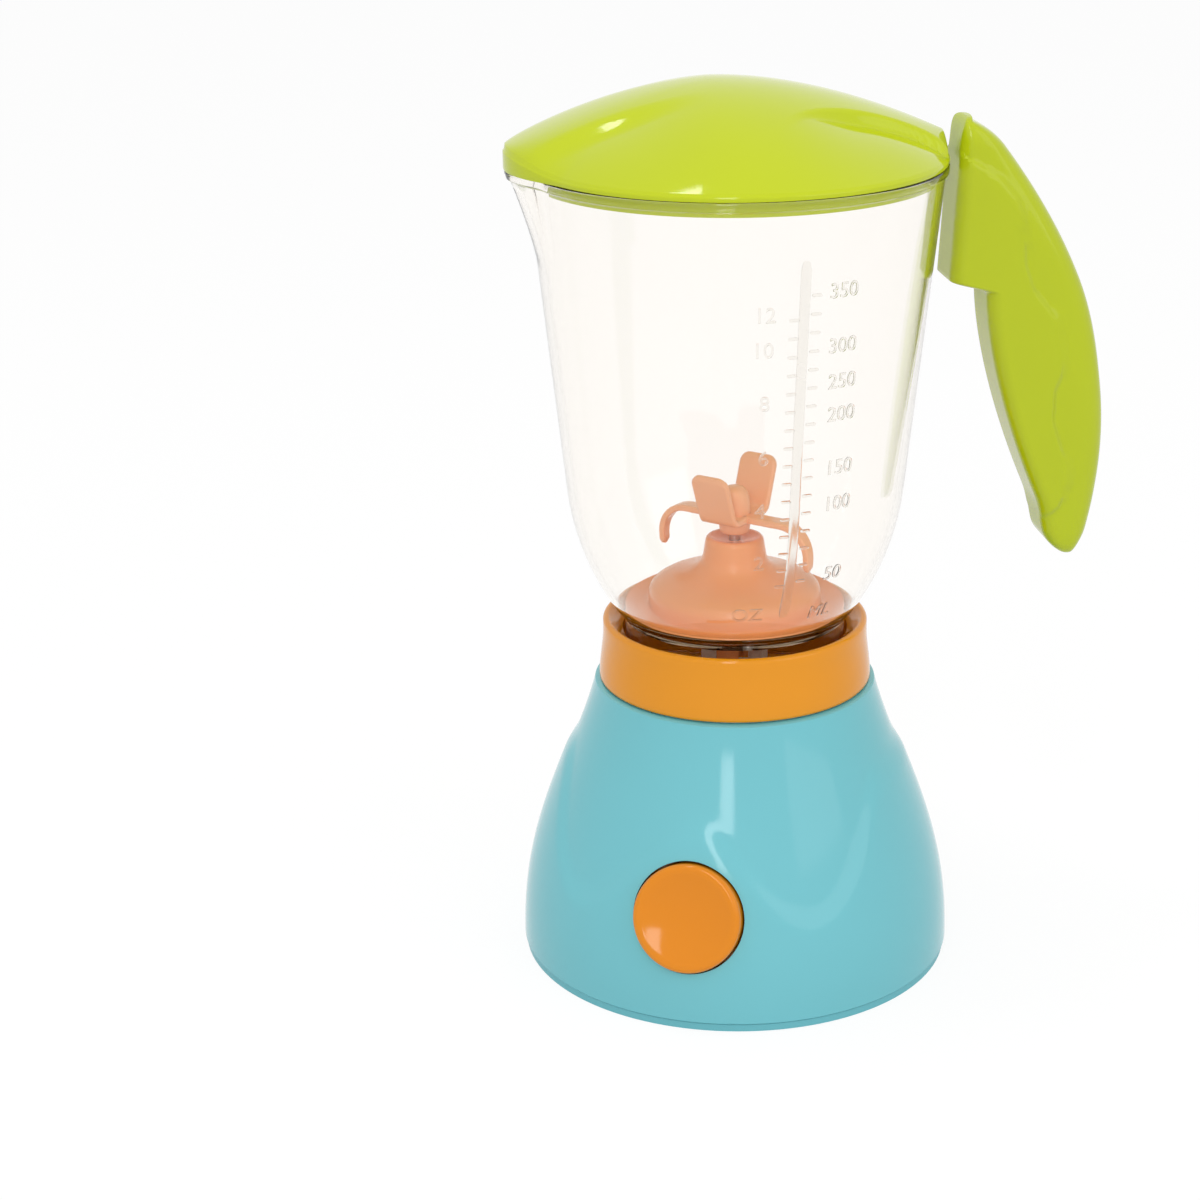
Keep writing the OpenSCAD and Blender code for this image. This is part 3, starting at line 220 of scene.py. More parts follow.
# One group for every moulded finish: a cloudy tint, a slight change of gloss and a fine skin
def mouldedSkin():
    group = bpy.data.node_groups.new("mouldedSkin", "ShaderNodeTree")
    face = group.interface
    colour, number = "NodeSocketColor", "NodeSocketFloat"
    face.new_socket("Tint", in_out="INPUT", socket_type=colour).default_value = (0.5, 0.5, 0.5, 1)
    for label, value in (("Cloud size", 20), ("Cloud depth", 0.03), ("Gloss low", 0.2), ("Gloss high", 0.3),
                         ("Grain size", 900)):
        face.new_socket(label, in_out="INPUT", socket_type=number).default_value = value
    for label, kind in (("Color", colour), ("Roughness", number), ("Height", number)):
        face.new_socket(label, in_out="OUTPUT", socket_type=kind)
    nodes, links = group.nodes, group.links
    start, end = nodes.new("NodeGroupInput"), nodes.new("NodeGroupOutput")
    spot = nodes.new("ShaderNodeTexCoord")
    cloud, fine = nodes.new("ShaderNodeTexNoise"), nodes.new("ShaderNodeTexNoise")
    cloud.inputs["Detail"].default_value = 3
    fine.inputs["Detail"].default_value = 2
    double = mathNode(nodes, "MULTIPLY", [(1, 2)])
    left = mathNode(nodes, "SUBTRACT", [(0, 1)])
    swing = mathNode(nodes, "MULTIPLY_ADD")       # cloud * 2 * depth + (1 - depth)
    tint = nodes.new("ShaderNodeVectorMath")
    tint.operation = "SCALE"
    gloss = nodes.new("ShaderNodeMapRange")
    links.new(spot.outputs["Object"], cloud.inputs["Vector"])
    links.new(spot.outputs["Object"], fine.inputs["Vector"])
    links.new(start.outputs["Cloud size"], cloud.inputs["Scale"])
    links.new(start.outputs["Grain size"], fine.inputs["Scale"])
    links.new(start.outputs["Cloud depth"], double.inputs[0])
    links.new(start.outputs["Cloud depth"], left.inputs[1])
    links.new(cloud.outputs["Fac"], swing.inputs[0])
    links.new(double.outputs[0], swing.inputs[1])
    links.new(left.outputs[0], swing.inputs[2])
    links.new(start.outputs["Tint"], tint.inputs[0])
    links.new(swing.outputs[0], tint.inputs["Scale"])
    links.new(cloud.outputs["Fac"], gloss.inputs["Value"])
    gloss.inputs["From Min"].default_value = 0.3
    gloss.inputs["From Max"].default_value = 0.7
    links.new(start.outputs["Gloss low"], gloss.inputs["To Min"])
    links.new(start.outputs["Gloss high"], gloss.inputs["To Max"])
    links.new(tint.outputs[0], end.inputs["Color"])
    links.new(gloss.outputs["Result"], end.inputs["Roughness"])
    links.new(fine.outputs["Fac"], end.inputs["Height"])
    return group


skinGroup = mouldedSkin()


skinSettings = {"grainSize": 1400, "grainDistance": 0.0004, "specular": 0.32}


def skinned(name, tint, gloss, cloudSize=22, cloudDepth=0.03, grainDepth=0.02, metallic=0.0, s=skinSettings):
    material = bpy.data.materials.new(name)
    material.use_nodes = True
    nodes, links = material.node_tree.nodes, material.node_tree.links
    shader = nodes["Principled BSDF"]
    skin = nodes.new("ShaderNodeGroup")
    skin.node_tree = skinGroup
    skin.inputs["Tint"].default_value = (*tint, 1)
    skin.inputs["Cloud size"].default_value = cloudSize
    skin.inputs["Cloud depth"].default_value = cloudDepth
    skin.inputs["Gloss low"].default_value = gloss[0]
    skin.inputs["Gloss high"].default_value = gloss[1]
    skin.inputs["Grain size"].default_value = s["grainSize"]
    bump = nodes.new("ShaderNodeBump")
    bump.inputs["Strength"].default_value = grainDepth
    bump.inputs["Distance"].default_value = s["grainDistance"]
    links.new(skin.outputs["Color"], shader.inputs["Base Color"])
    links.new(skin.outputs["Roughness"], shader.inputs["Roughness"])
    links.new(skin.outputs["Height"], bump.inputs["Height"])
    links.new(bump.outputs["Normal"], shader.inputs["Normal"])
    shader.inputs["Metallic"].default_value = metallic
    if not metallic:
        shader.inputs["Specular IOR Level"].default_value = s["specular"]
    return material


# Colours are written as seen on a screen and turned into the linear values that the shader takes
def seen(r, g, b):
    return tuple(((c / 255 + 0.055) / 1.055) ** 2.4 for c in (r, g, b))


waveSettings = {"scale": 30, "strength": 0.05, "distance": 0.0006}


# Clear plastic with a faint wave; absorb, a colour and a density, darkens it where light goes a long way through
def clearPlastic(name, tint, roughness, ior, absorb=None, s=waveSettings):
    material = bpy.data.materials.new(name)
    material.use_nodes = True
    nodes, links = material.node_tree.nodes, material.node_tree.links
    shader = nodes["Principled BSDF"]
    shader.inputs["Base Color"].default_value = (*tint, 1)
    shader.inputs["Transmission Weight"].default_value = 1
    shader.inputs["IOR"].default_value = ior
    spot, wave = nodes.new("ShaderNodeTexCoord"), nodes.new("ShaderNodeTexNoise")
    wave.inputs["Scale"].default_value = s["scale"]
    spread = nodes.new("ShaderNodeMapRange")
    spread.inputs["To Min"].default_value, spread.inputs["To Max"].default_value = roughness
    bump = nodes.new("ShaderNodeBump")
    bump.inputs["Strength"].default_value = s["strength"]
    bump.inputs["Distance"].default_value = s["distance"]
    links.new(spot.outputs["Object"], wave.inputs["Vector"])
    links.new(wave.outputs["Fac"], spread.inputs["Value"])
    links.new(spread.outputs["Result"], shader.inputs["Roughness"])
    links.new(wave.outputs["Fac"], bump.inputs["Height"])
    links.new(bump.outputs["Normal"], shader.inputs["Normal"])
    rays = nodes.new("ShaderNodeLightPath")      # lamp light and soft light pass through, as in clear plastic
    passing = mathNode(nodes, "MAXIMUM")
    solid = mathNode(nodes, "MULTIPLY_ADD", [(1, -1), (2, 1)])
    links.new(rays.outputs["Is Shadow Ray"], passing.inputs[0])
    links.new(rays.outputs["Is Diffuse Ray"], passing.inputs[1])
    links.new(passing.outputs[0], solid.inputs[0])
    links.new(solid.outputs[0], shader.inputs["Alpha"])
    if absorb:
        body = nodes.new("ShaderNodeVolumeAbsorption")
        body.inputs["Color"].default_value = (*absorb[:3], 1)
        body.inputs["Density"].default_value = absorb[3]
        links.new(body.outputs["Volume"], nodes["Material Output"].inputs["Volume"])
    return material


finishes = {
    "blue": skinned("blueShell", seen(119, 200, 210), gloss=(0.08, 0.12)),
    "blueUnder": skinned("blueUnderside", seen(114, 192, 202), gloss=(0.34, 0.44), grainDepth=0.12),
    "orange": skinned("orangeCollar", seen(239, 154, 24), gloss=(0.09, 0.14)),
    "buttonOrange": skinned("orangeButton", seen(234, 140, 16), gloss=(0.08, 0.12)),
    "lidGreen": skinned("limeLid", seen(196, 210, 22), gloss=(0.05, 0.08), cloudDepth=0.02),
    "handleGreen": skinned("limeHandle", seen(188, 202, 24), gloss=(0.1, 0.15)),
    "coral": skinned("coralStand", seen(248, 166, 110), gloss=(0.2, 0.28)),
    "bladeOrange": skinned("orangeBlades", seen(255, 186, 141), gloss=(0.2, 0.28)),
    "nylon": skinned("whiteNylon", (0.82, 0.81, 0.76), gloss=(0.4, 0.5), grainDepth=0.1),
    "steel": skinned("plainSteel", (0.62, 0.62, 0.63), gloss=(0.22, 0.36), cloudSize=160, metallic=1.0),
    "springBronze": skinned("springBronze", (0.72, 0.53, 0.28), gloss=(0.25, 0.35), cloudSize=120, metallic=1.0),
    "brass": skinned("turnedBrass", (0.78, 0.6, 0.26), gloss=(0.2, 0.32), cloudSize=200, metallic=1.0),
    "cell": skinned("cellSleeve", (0.05, 0.055, 0.06), gloss=(0.25, 0.35)),
    "clear": clearPlastic("clearJarPlastic", (0.99, 0.985, 0.975), (0.015, 0.05), 1.4,
                          absorb=(0.45, 0.3, 0.1, 32)),
    "frosted": clearPlastic("frostedMarks", (0.95, 0.94, 0.92), (0.2, 0.3), 1.2),
}
print("materials ready")

slotFinish = {
    "blue_shell": "blueUnder", "orange_collar": "orange", "orange_button": "buttonOrange", "clear_jar": "clear",
    "green_handle": "handleGreen", "green_lid": "lidGreen", "coral_stand": "coral", "orange_blades": "bladeOrange",
    "white_plastic": "nylon", "steel": "steel", "contact_metal": "springBronze",
    "brass_pinion": "brass", "cell_wrap": "cell",
}
for part in frame["record"]["subparts"]:
    node = frame["nodes"][part["node"]]
    node.data.materials.clear()
    node.data.materials.append(finishes[slotFinish[part["material_slot"]]])


# The camera stands where the photograph's did
cameraSettings = {
    "place": (0.1509, -0.6641, 0.3515),
    "yaw": -3.16,        # right of +Y before the turn, in degrees
    "pitch": 20.08,
    "roll": -1.0,
    "turn": 12.8,        # of the whole view about Z
    "lens": 77.9,
}


def makeCamera(s):
    data = bpy.data.cameras.new("photoCamera")
    camera = bpy.data.objects.new("photoCamera", data)
    bpy.context.scene.collection.objects.link(camera)
    data.sensor_width = 36
    data.lens = s["lens"]
    yaw, pitch = math.radians(s["yaw"]), math.radians(s["pitch"])
    ahead = Vector((math.sin(yaw) * math.cos(pitch), math.cos(yaw) * math.cos(pitch), -math.sin(pitch)))
    ahead.rotate(Matrix.Rotation(math.radians(s["turn"]), 3, "Z"))
    facing = ahead.to_track_quat("-Z", "Y").to_matrix()
    camera.matrix_world = Matrix.Translation(s["place"]) @ (
        facing @ Matrix.Rotation(math.radians(s["roll"]), 3, "Z")).to_4x4()
    bpy.context.scene.camera = camera


lampSettings = {
    "keyBox": {"place": (0.17, -1.2, 0.95), "target": (0, 0, 0.12), "size": (0.24, 1.3), "power": 6},
    "fillBox": {"place": (1.2, -0.5, 0.7), "target": (0, 0, 0.12), "size": (0.9, 0.9), "power": 2.4},
    "topBox": {"place": (-0.23, -0.05, 1.25), "target": (0, 0, 0.1), "size": (0.26, 0.16), "power": 1.6},
}


def makeLamp(name, s):
    data = bpy.data.lights.new(name, "AREA")
    data.shape = "RECTANGLE"
    data.size, data.size_y = s["size"]
    data.energy = s["power"]
    lamp = bpy.data.objects.new(name, data)
    bpy.context.scene.collection.objects.link(lamp)
    aim = Vector(s["target"]) - Vector(s["place"])
    lamp.matrix_world = Matrix.Translation(s["place"]) @ aim.to_track_quat("-Z", "Y").to_matrix().to_4x4()


# Rays that show the white background: the camera's, and those that come by way of a gloss or a clear piece
def lookingRays(nodes, links, joined):
    rays = nodes.new("ShaderNodeLightPath")
    two, three = mathNode(nodes, joined), mathNode(nodes, joined)
    links.new(rays.outputs["Is Camera Ray"], two.inputs[0])
    links.new(rays.outputs["Is Glossy Ray"], two.inputs[1])
    links.new(two.outputs[0], three.inputs[0])
    links.new(rays.outputs["Is Transmission Ray"], three.inputs[1])
    return three.outputs[0]


studioSettings = {
    "fill": 0.64,           # light of the world on the object
    "floorSize": 6,
    "bounce": 0.75,         # paleness of the floor to the light that it throws back
    "tone": 0.15,           # the same where it is looked at, and glows instead
    "glow": 0.875,
}


def makeWorld(s=studioSettings):
    world = bpy.data.worlds.new("studio")
    bpy.context.scene.world = world
    world.use_nodes = True
    nodes, links = world.node_tree.nodes, world.node_tree.links
    backdrop = nodes["Background"]
    backdrop.inputs["Color"].default_value = (1, 1, 1, 1)
    level = nodes.new("ShaderNodeMapRange")
    level.inputs["To Min"].default_value, level.inputs["To Max"].default_value = s["fill"], 1
    links.new(lookingRays(nodes, links, "MAXIMUM"), level.inputs["Value"])
    links.new(level.outputs["Result"], backdrop.inputs["Strength"])


def makeFloor(s=studioSettings):
    clearSelection()
    bpy.ops.mesh.primitive_plane_add(size=s["floorSize"])
    floor = bpy.context.object
    floor.name = "studioFloor"
    paper = bpy.data.materials.new("paleFloor")
    paper.use_nodes = True
    nodes, links = paper.node_tree.nodes, paper.node_tree.links
    shader = nodes["Principled BSDF"]
    shader.inputs["Roughness"].default_value = 0.9
    shader.inputs["Specular IOR Level"].default_value = 0
    shader.inputs["Emission Color"].default_value = (1, 1, 1, 1)
    looked = lookingRays(nodes, links, "ADD")
    glow = mathNode(nodes, "MULTIPLY", [(1, s["glow"])], clamp=True)
    links.new(looked, glow.inputs[0])
    tone = nodes.new("ShaderNodeMapRange")
    tone.inputs["To Min"].default_value, tone.inputs["To Max"].default_value = s["bounce"], s["tone"]
    links.new(looked, tone.inputs["Value"])
    links.new(tone.outputs["Result"], shader.inputs["Base Color"])
    links.new(glow.outputs[0], shader.inputs["Emission Strength"])
    floor.data.materials.append(paper)


makeCamera(cameraSettings)
for lampName, lampValues in lampSettings.items():
    makeLamp(lampName, lampValues)
makeWorld()
makeFloor()
bpy.context.scene.view_settings.view_transform = "Standard"
print("camera, lights and floor ready")


# The blue shell of the base: its outline is a bell curve of this span and power
bellSettings = {
    "foot": 61, "neck": 38, "span": 98.01, "power": 1.17, "bottom": 2.2, "wall": 2.4, "hole": 6.2,
    "scoop": 1.2, "scoopRun": 8, "lobeLow": 29.97, "lobeArch": 54.27, "lobeSide": 60.35,
    "lobeAngle": 35, "sideAngle": 72, "seam": 0.6, "seamRadius": 36.6, "levels": 64, "steps": 240,
    "boreGap": 0.6, "boreRound": 0.7, "boreDeep": 14,
}


def bellRadius(z, s=bellSettings):
    return s["neck"] + (s["foot"] - s["neck"]) * (0.5 + 0.5 * math.cos(math.pi * (z / s["span"]) ** s["power"]))


# Height of the lower edge of the scooped panels at an angle
def scoopEdge(degrees, s=bellSettings):
    b = abs((degrees + 450) % 360 - 180)
    t = 90 - abs(90 - (180 - b if b > 90 else b))
    if t < s["lobeAngle"]:
        return mix(s["lobeLow"], s["lobeArch"], 0.5 + 0.5 * math.cos(math.pi * t / s["lobeAngle"]))
    return mix(s["lobeLow"], s["lobeSide"], smooth((t - s["lobeAngle"]) / (s["sideAngle"] - s["lobeAngle"])))


def buttonFrame():
    tilt, z = math.radians(shared["buttonTilt"]), shared["buttonHeight"]
    return Matrix.Translation((0, -bellRadius(z) * mm, z * mm)) @ Matrix.Rotation(math.pi / 2 - tilt, 4, "X")


def makeBell(s=bellSettings):
    top = shared["baseHeight"]
    heights = [mix(s["bottom"] + 0.4, top - s["seam"] - 0.3, k / s["levels"]) for k in range(s["levels"] + 1)]
    outside = [(bellRadius(s["bottom"]) - 0.4, s["bottom"])] + [(bellRadius(z), z) for z in heights]
    outside += [(bellRadius(top) - 0.35, top - s["seam"]), (s["seamRadius"], top - s["seam"]),
                (s["seamRadius"], top), (s["hole"], top)]
    inside = [(s["hole"], top - s["wall"]), (bellRadius(top) - s["wall"] - 2, top - s["wall"])]
    inside += [(bellRadius(z) - s["wall"], z) for z in heights[-6:0:-4]]
    inside += [(bellRadius(s["bottom"]) - s["wall"], s["bottom"])]
    bell = turnProfile("baseBell", outside + inside, s["steps"])

    def scoopIn(p):
        r = math.hypot(p.x, p.y)
        if r < s["seamRadius"] - 3:
            return p
        a = math.degrees(math.atan2(p.y, p.x))
        cut = s["scoop"] * smooth((p.z - scoopEdge(a)) / s["scoopRun"] + 0.5)
        if p.z > top - s["seam"] - 0.1 and r < s["seamRadius"] + 0.1:
            cut = 0
        return Vector((p.x * (r - cut) / r, p.y * (r - cut) / r, p.z))
    shape(bell, scoopIn)
    bore = shared["buttonRadius"] + s["boreGap"]
    rounding = [(bore + s["boreRound"] * (1 - math.cos(t)), s["boreRound"] * (math.sin(t) - 1))
                for t in (math.pi / 12 * k for k in range(7))]
    bored = [(bore, -s["boreDeep"])] + rounding + [(bore + 4, 0.2), (bore + 4, 12)]
    tool = turnProfile("boreTool", bored, 96, closed=False)
    moveMesh(tool, buttonFrame())
    return cutWith(bell, tool)


place(makeBell(), "base", finishes["blue"], ["base_shell"], 40)

# The collar, with a lip inside that has a slot for each lug of the jar
collarSettings = {
    "radius": 38, "taper": 1.2, "height": 17.5, "crest": 1.2, "bore": 4, "floor": 2.5,
    "lip": 31.3, "lipLow": 10.1, "lipTop": 14.1, "groove": 34.2, "steps": 192,
    "slots": 3, "slotMiddle": -116.5, "slotAngle": 43, "slotRound": 0.8,
}


def makeCollar(s=collarSettings):
    base = shared["baseHeight"]
    crest = s["radius"] - s["taper"] - s["crest"]
    profile = [(s["radius"] - 0.3, 0), (s["radius"] - 0.05, 0.3)]
    profile += [(s["radius"] - s["taper"] * smooth(k / 16), 0.8 * s["height"] * k / 16) for k in range(1, 17)]
    profile += [(crest + s["crest"] * math.cos(a), s["height"] - s["crest"] * (1 - math.sin(a)))
                for a in (math.pi / 18 * k for k in range(13))]
    profile += [(s["lip"] + 0.3, s["lipTop"] + 0.3), (s["lip"], s["lipTop"]), (s["lip"], s["lipLow"]),
                (s["groove"], s["lipLow"]), (s["groove"], s["floor"]),
                (s["bore"], s["floor"]), (s["bore"], 0)]
    ring = turnProfile("orangeCollar", [(r, base + z) for r, z in profile], s["steps"])
    low, high = s["lip"] - 1.5, s["groove"] - 0.1
    for k in range(s["slots"]):
        tool = gridCube("slotTool", 20)
        middle = s["slotMiddle"] + 360 / s["slots"] * k

        def toSlot(p):
            x, y, z = platePoint(p, s["slotAngle"], high - low, 12, s["slotRound"], 0.3)
            r, a = (low + high) / 2 + y, middle + x
            return Vector((*polar(r, a), base + s["lipLow"] + 5 + z))
        cutWith(ring, shape(tool, toSlot))
    return ring


place(makeCollar(), "base", finishes["orange"], ["collar"], 40)

buttonSettings = {
    "out": 1.6, "dish": 1.8, "dishRadius": 12.8, "rimRound": 1.3, "skirt": 8.4, "flange": 16.8,
    "flangeThick": 1.6, "inner": 13, "roof": -1.6, "middle": 0.4, "steps": 128,
}


def makeButton(s=buttonSettings):
    radius, rimRound, low = shared["buttonRadius"], s["rimRound"], -s["skirt"]
    face = [(r, s["out"] - s["dish"] * (1 - (r / s["dishRadius"]) ** 2))
            for r in (s["middle"], 2, 4, 6, 8, 9.5, 10.5, 11.3, 12, 12.5)]
    edge = [(radius - rimRound * (1 - math.sin(t)), s["out"] - rimRound * (1 - math.cos(t)))
            for t in (math.pi / 14 * k for k in range(8))]
    rest = [(radius, low), (s["flange"], low), (s["flange"], low - s["flangeThick"]),
            (s["inner"], low - s["flangeThick"]), (s["inner"], s["roof"]), (s["middle"], s["roof"])]
    return moveMesh(turnProfile("pushButton", face + edge + rest, s["steps"], closed=False), buttonFrame())


place(makeButton(), "button", finishes["buttonOrange"], ["button"], 40)

springSettings = {
    "radius": 4.6, "wire": 0.35, "low": -15.9, "high": -1.7, "turns": 7, "flatPitch": 2.3,
    "ringsPerTurn": 28, "steps": 12, "travel": 3,
}


# A coil in the button's frame: its first and last turns lie flat, the others climb evenly
def makeSpring(s=springSettings):
    count = s["turns"] * s["ringsPerTurn"]
    form = turnProfile("buttonSpring", [(10, k) for k in range(count + 1)], s["steps"], closed=False)
    flat = s["flatPitch"] * s["wire"]
    climb = (s["high"] - s["low"] - 2 * s["wire"] - 2 * flat) / (s["turns"] - 2)

    def toCoil(p):
        turned = round(p.z) / s["ringsPerTurn"]
        height = flat * min(turned, 1) + climb * max(0, min(turned - 1, s["turns"] - 2))
        height += flat * max(0, turned - s["turns"] + 1)
        a = math.atan2(p.y, p.x)
        x, y = polar(s["radius"] + s["wire"] * math.cos(a), turned * 360)
        return Vector((x, y, s["low"] + s["wire"] + height + s["wire"] * math.sin(a)))
    editWhole(shape(form, toCoil), lambda: bpy.ops.mesh.normals_make_consistent(inside=False))
    return moveMesh(form, buttonFrame())


spring = makeSpring()
place(spring, "base", finishes["steel"], ["button_spring"], 60)
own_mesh(spring)
print("base ready")


# The jar is made with its spout on -X, and then turned
jarSettings = {
    "foot": 83.6, "footRadius": 30.6, "footWall": 2.2, "floor": 101, "floorThick": 2.5, "bush": 3.4,
    "bellyTop": 136, "bend": 72, "rim": shared["rim"], "rimRadius": 55.4, "lean": 0.105, "wall": 2,
    "bead": 0.6, "beadHeight": 2.4, "rimRound": 0.5, "fineRun": 26, "steps": 240,
    "spoutReach": 60.5, "spoutHalf": 17, "spoutDrop": 25, "spoutPower": 1.35, "spoutEase": 0.8,
    "lugs": 3, "lugAngle": 30, "lugReach": 2.9, "lugLow": 86.9, "lugThick": 3, "lugMiddle": -139.5,
}


def jarRadius(z, s=jarSettings):
    if z > s["bellyTop"]:
        return s["rimRadius"] - s["lean"] * (s["rim"] - z)
    turn = math.atan(s["lean"])
    tilt = math.asin(math.sin(turn) + (s["bellyTop"] - z) / s["bend"])
    bellyRadius = s["rimRadius"] - s["lean"] * (s["rim"] - s["bellyTop"])
    return bellyRadius - s["bend"] * (math.cos(turn) - math.cos(tilt))


# How far the spout pushes the wall out at an angle of the jar and a height
def spoutPush(degrees, z, s=jarSettings):
    away = abs((degrees + 360) % 360 - 180)
    low = s["rim"] - s["spoutDrop"]
    if away > s["spoutHalf"] or z < low:
        return 0
    side = smooth(1 - away / s["spoutHalf"]) ** s["spoutEase"]
    return (s["spoutReach"] - s["rimRadius"]) * side * ((z - low) / s["spoutDrop"]) ** s["spoutPower"]


def makeJar(s=jarSettings):
    rim, floor, bead, rounding = s["rim"], s["floor"], s["rimRadius"] + s["bead"], s["rimRound"]
    fine = rim - s["fineRun"]
    climb = [mix(floor, s["bellyTop"], k / 24) for k in range(25)]
    climb += [mix(s["bellyTop"], fine, k / 8) for k in range(1, 9)]
    climb += [fine + (s["fineRun"] - s["beadHeight"] - 0.4) * k / 12 for k in range(1, 13)]
    outside = [(s["footRadius"] - 0.3, s["foot"]), (s["footRadius"], s["foot"] + 0.3),
               (s["footRadius"], floor - 1.6), (s["footRadius"] + 0.5, floor - 0.8)]
    outside += [(jarRadius(z), z) for z in climb]
    turns = [math.pi / 12 * k for k in range(7)]
    beadLow = rim - s["beadHeight"]
    outside += [(bead - rounding * (1 - math.sin(a)), beadLow + rounding * (1 - math.cos(a))) for a in turns[1:]]
    outside += [(bead - rounding * (1 - math.cos(a)), rim - rounding * (1 - math.sin(a))) for a in turns]
    room = s["rimRadius"] - s["wall"]
    inside = [(room + rounding * (1 - math.sin(a)), rim - rounding * (1 - math.cos(a))) for a in turns]
    inside += [(jarRadius(z) - s["wall"], z) for z in climb[:3:-1]]
    inner = jarRadius(climb[3]) - s["wall"]
    inside += [(inner - 0.9, climb[3] - 1.9), (inner - 2.4, floor + 1.1), (inner - 4.4, floor + 0.25),
               (inner - 7, floor), (s["bush"], floor), (s["bush"], floor - s["floorThick"]),
               (s["footRadius"] - s["footWall"], floor - s["floorThick"]), (s["footRadius"] - s["footWall"], s["foot"])]
    jar = turnProfile("clearJar", outside + inside, s["steps"])

    def pour(p):
        r = math.hypot(p.x, p.y)
        if p.z < rim - s["spoutDrop"] or r < 30:
            return p
        k = (r + spoutPush(math.degrees(math.atan2(p.y, p.x)), p.z)) / r
        return Vector((p.x * k, p.y * k, p.z))
    shape(jar, pour)
    lug = gridCube("jarLug", 12)
    for k in range(s["lugs"]):
        def toLug(p, middle=s["lugMiddle"] + 360 / s["lugs"] * k):
            x, y, z = platePoint(p, s["lugAngle"], s["lugReach"] + 1, s["lugThick"], 0.7, 0.4)
            r = s["footRadius"] - 1 + (s["lugReach"] + 1) / 2 + y
            return Vector((*polar(r, middle + x), s["lugLow"] + s["lugThick"] / 2 + z))
        cutWith(jar, shape(copyOf(lug, "lug"), toLug), "UNION")
    bpy.data.objects.remove(lug)
    return moveMesh(jar, jarSpin)


# The measuring scale on the jar: a bar, ticks beside it by (side, height of the first, count, gap), and words by
# (text, angle, height)
scaleSettings = {
    "angle": -81, "low": 110.6, "high": 209.6, "barWidth": 2.7, "rise": 0.8, "sunk": 0.12,
    "pitch": 4.9, "tick": (2.7, 0.8, 0.5), "ticks": [(1, 122.2, 17, 0.5), (-1, 121, 16, -0.2)],
    "letter": 5.7, "letterRise": 0.3,
    "words": [
        ("350", -69.2, 201), ("300", -68.4, 186.5), ("250", -67.6, 176.9), ("200", -67, 168),
        ("150", -66.3, 153.3), ("100", -65.8, 143.2), ("50", -64.2, 122.8), ("ML", -64.6, 110.8),
        ("12", -92, 195.9), ("10", -92.4, 186.7), ("8", -91.6, 172.5), ("6", -91.6, 157.8),
        ("4", -92.2, 143.2), ("2", -92.2, 128.3), ("OZ", -95.6, 112),
    ],
}


# Lays a flat shape in mm on the outside of the jar, its x along the wall and its y upwards
def onWall(p, angle, z, sunk):
    height = z + p.y
    turned = angle + math.degrees(p.x / jarRadius(z))
    return Vector((*polar(jarRadius(height) - sunk + p.z, turned), height))


def makeScale(s=scaleSettings):
    marks = []
    bar = gridCube("scaleBar", 40)
    long, middle = s["high"] - s["low"], (s["low"] + s["high"]) / 2

    def toBar(p):
        thick = 2 * (s["rise"] + s["sunk"])
        x, y, z = platePoint(p, s["barWidth"], long, thick, s["barWidth"] / 2, s["rise"])
        height = middle + y
        turned = s["angle"] + math.degrees(x / jarRadius(height))
        return Vector((*polar(jarRadius(height) - s["sunk"] + max(z, 0), turned), height))
    marks.append(shape(bar, toBar))
    tick = gridCube("tick", 6)
    length, high, rise = s["tick"]
    for side, start, count, gap in s["ticks"]:
        for k in range(count):
            def toTick(p, z=start + k * s["pitch"]):
                x, y, t = platePoint(p, length, high, 2 * (rise + s["sunk"]), high / 2, 0.3)
                x += side * (s["barWidth"] / 2 + gap + length / 2)
                return onWall(Vector((x, y, max(t, 0))), s["angle"], z, s["sunk"])
            marks.append(shape(copyOf(tick, "tick"), toTick))
    bpy.data.objects.remove(tick)
    lift = (s["letterRise"] + s["sunk"]) / 2
    for word, angle, z in s["words"]:
        clearSelection()
        bpy.ops.object.text_add()
        text = bpy.context.object
        text.data.body = word
        text.data.align_x, text.data.align_y = "CENTER", "CENTER"
        text.data.size = s["letter"] * mm
        text.data.extrude = lift * mm
        text.data.resolution_u = 4
        bpy.ops.object.convert(target="MESH")
        text = bpy.context.object
        marks.append(shape(text, lambda p: onWall(Vector((p.x, p.y, p.z + lift)), angle, z, s["sunk"])))
    return moveMesh(joinPieces(marks, "measuringScale"), jarSpin)


place(makeJar(), "jar", finishes["clear"], ["jar"], 40)
place(makeScale(), "jar", finishes["frosted"], angle=40)
print("jar ready")


# The lid: a dome with a ridge from spout to handle, and a band along the ridge that spreads towards the middle
lidSettings = {
    "rise": 21.9, "edge": 1.6, "edgeRound": 0.6, "tab": 3.6, "seat": 225.1, "wall": 2, "reach": 55.9,
    "spoutReach": 61.2, "spoutHalf": 15, "spoutWide": 1.9, "spoutEase": 1.6,
    "peak": -5, "spoutRise": 6.3, "handleRise": 6.2, "spoutPower": 1.7, "handlePower": 1.8,
    "band": 13, "spread": 16, "spreadFrom": 50, "spreadRun": 43, "spreadPower": 2.2, "flat": -2,
    "scoop": 3, "handleScoop": 3.5, "step": 1.7, "slope": 8, "stepFrom": 2, "stepRun": 14,
    "scoopFrom": 6, "scoopRun": 26, "spoutEnd": 1.2, "spoutRun": 14, "flankPower": 1.1,
    "skirt": 4, "skirtRadius": 52.58, "skirtWall": 1.6, "seatWidth": 3,
    "steps": 384, "rings": 126, "underRings": 18, "middle": 0.8,
}


def overSpout(degrees, s=lidSettings):
    away = abs((degrees + 360) % 360 - 180)
    turned = min(90, away * 90 / (s["spoutWide"] * s["spoutHalf"]))
    return max(0.0, math.cos(math.radians(turned))) ** s["spoutEase"]


def lidEdge(degrees, s=lidSettings):
    return s["reach"] + (s["spoutReach"] - s["reach"]) * overSpout(degrees)


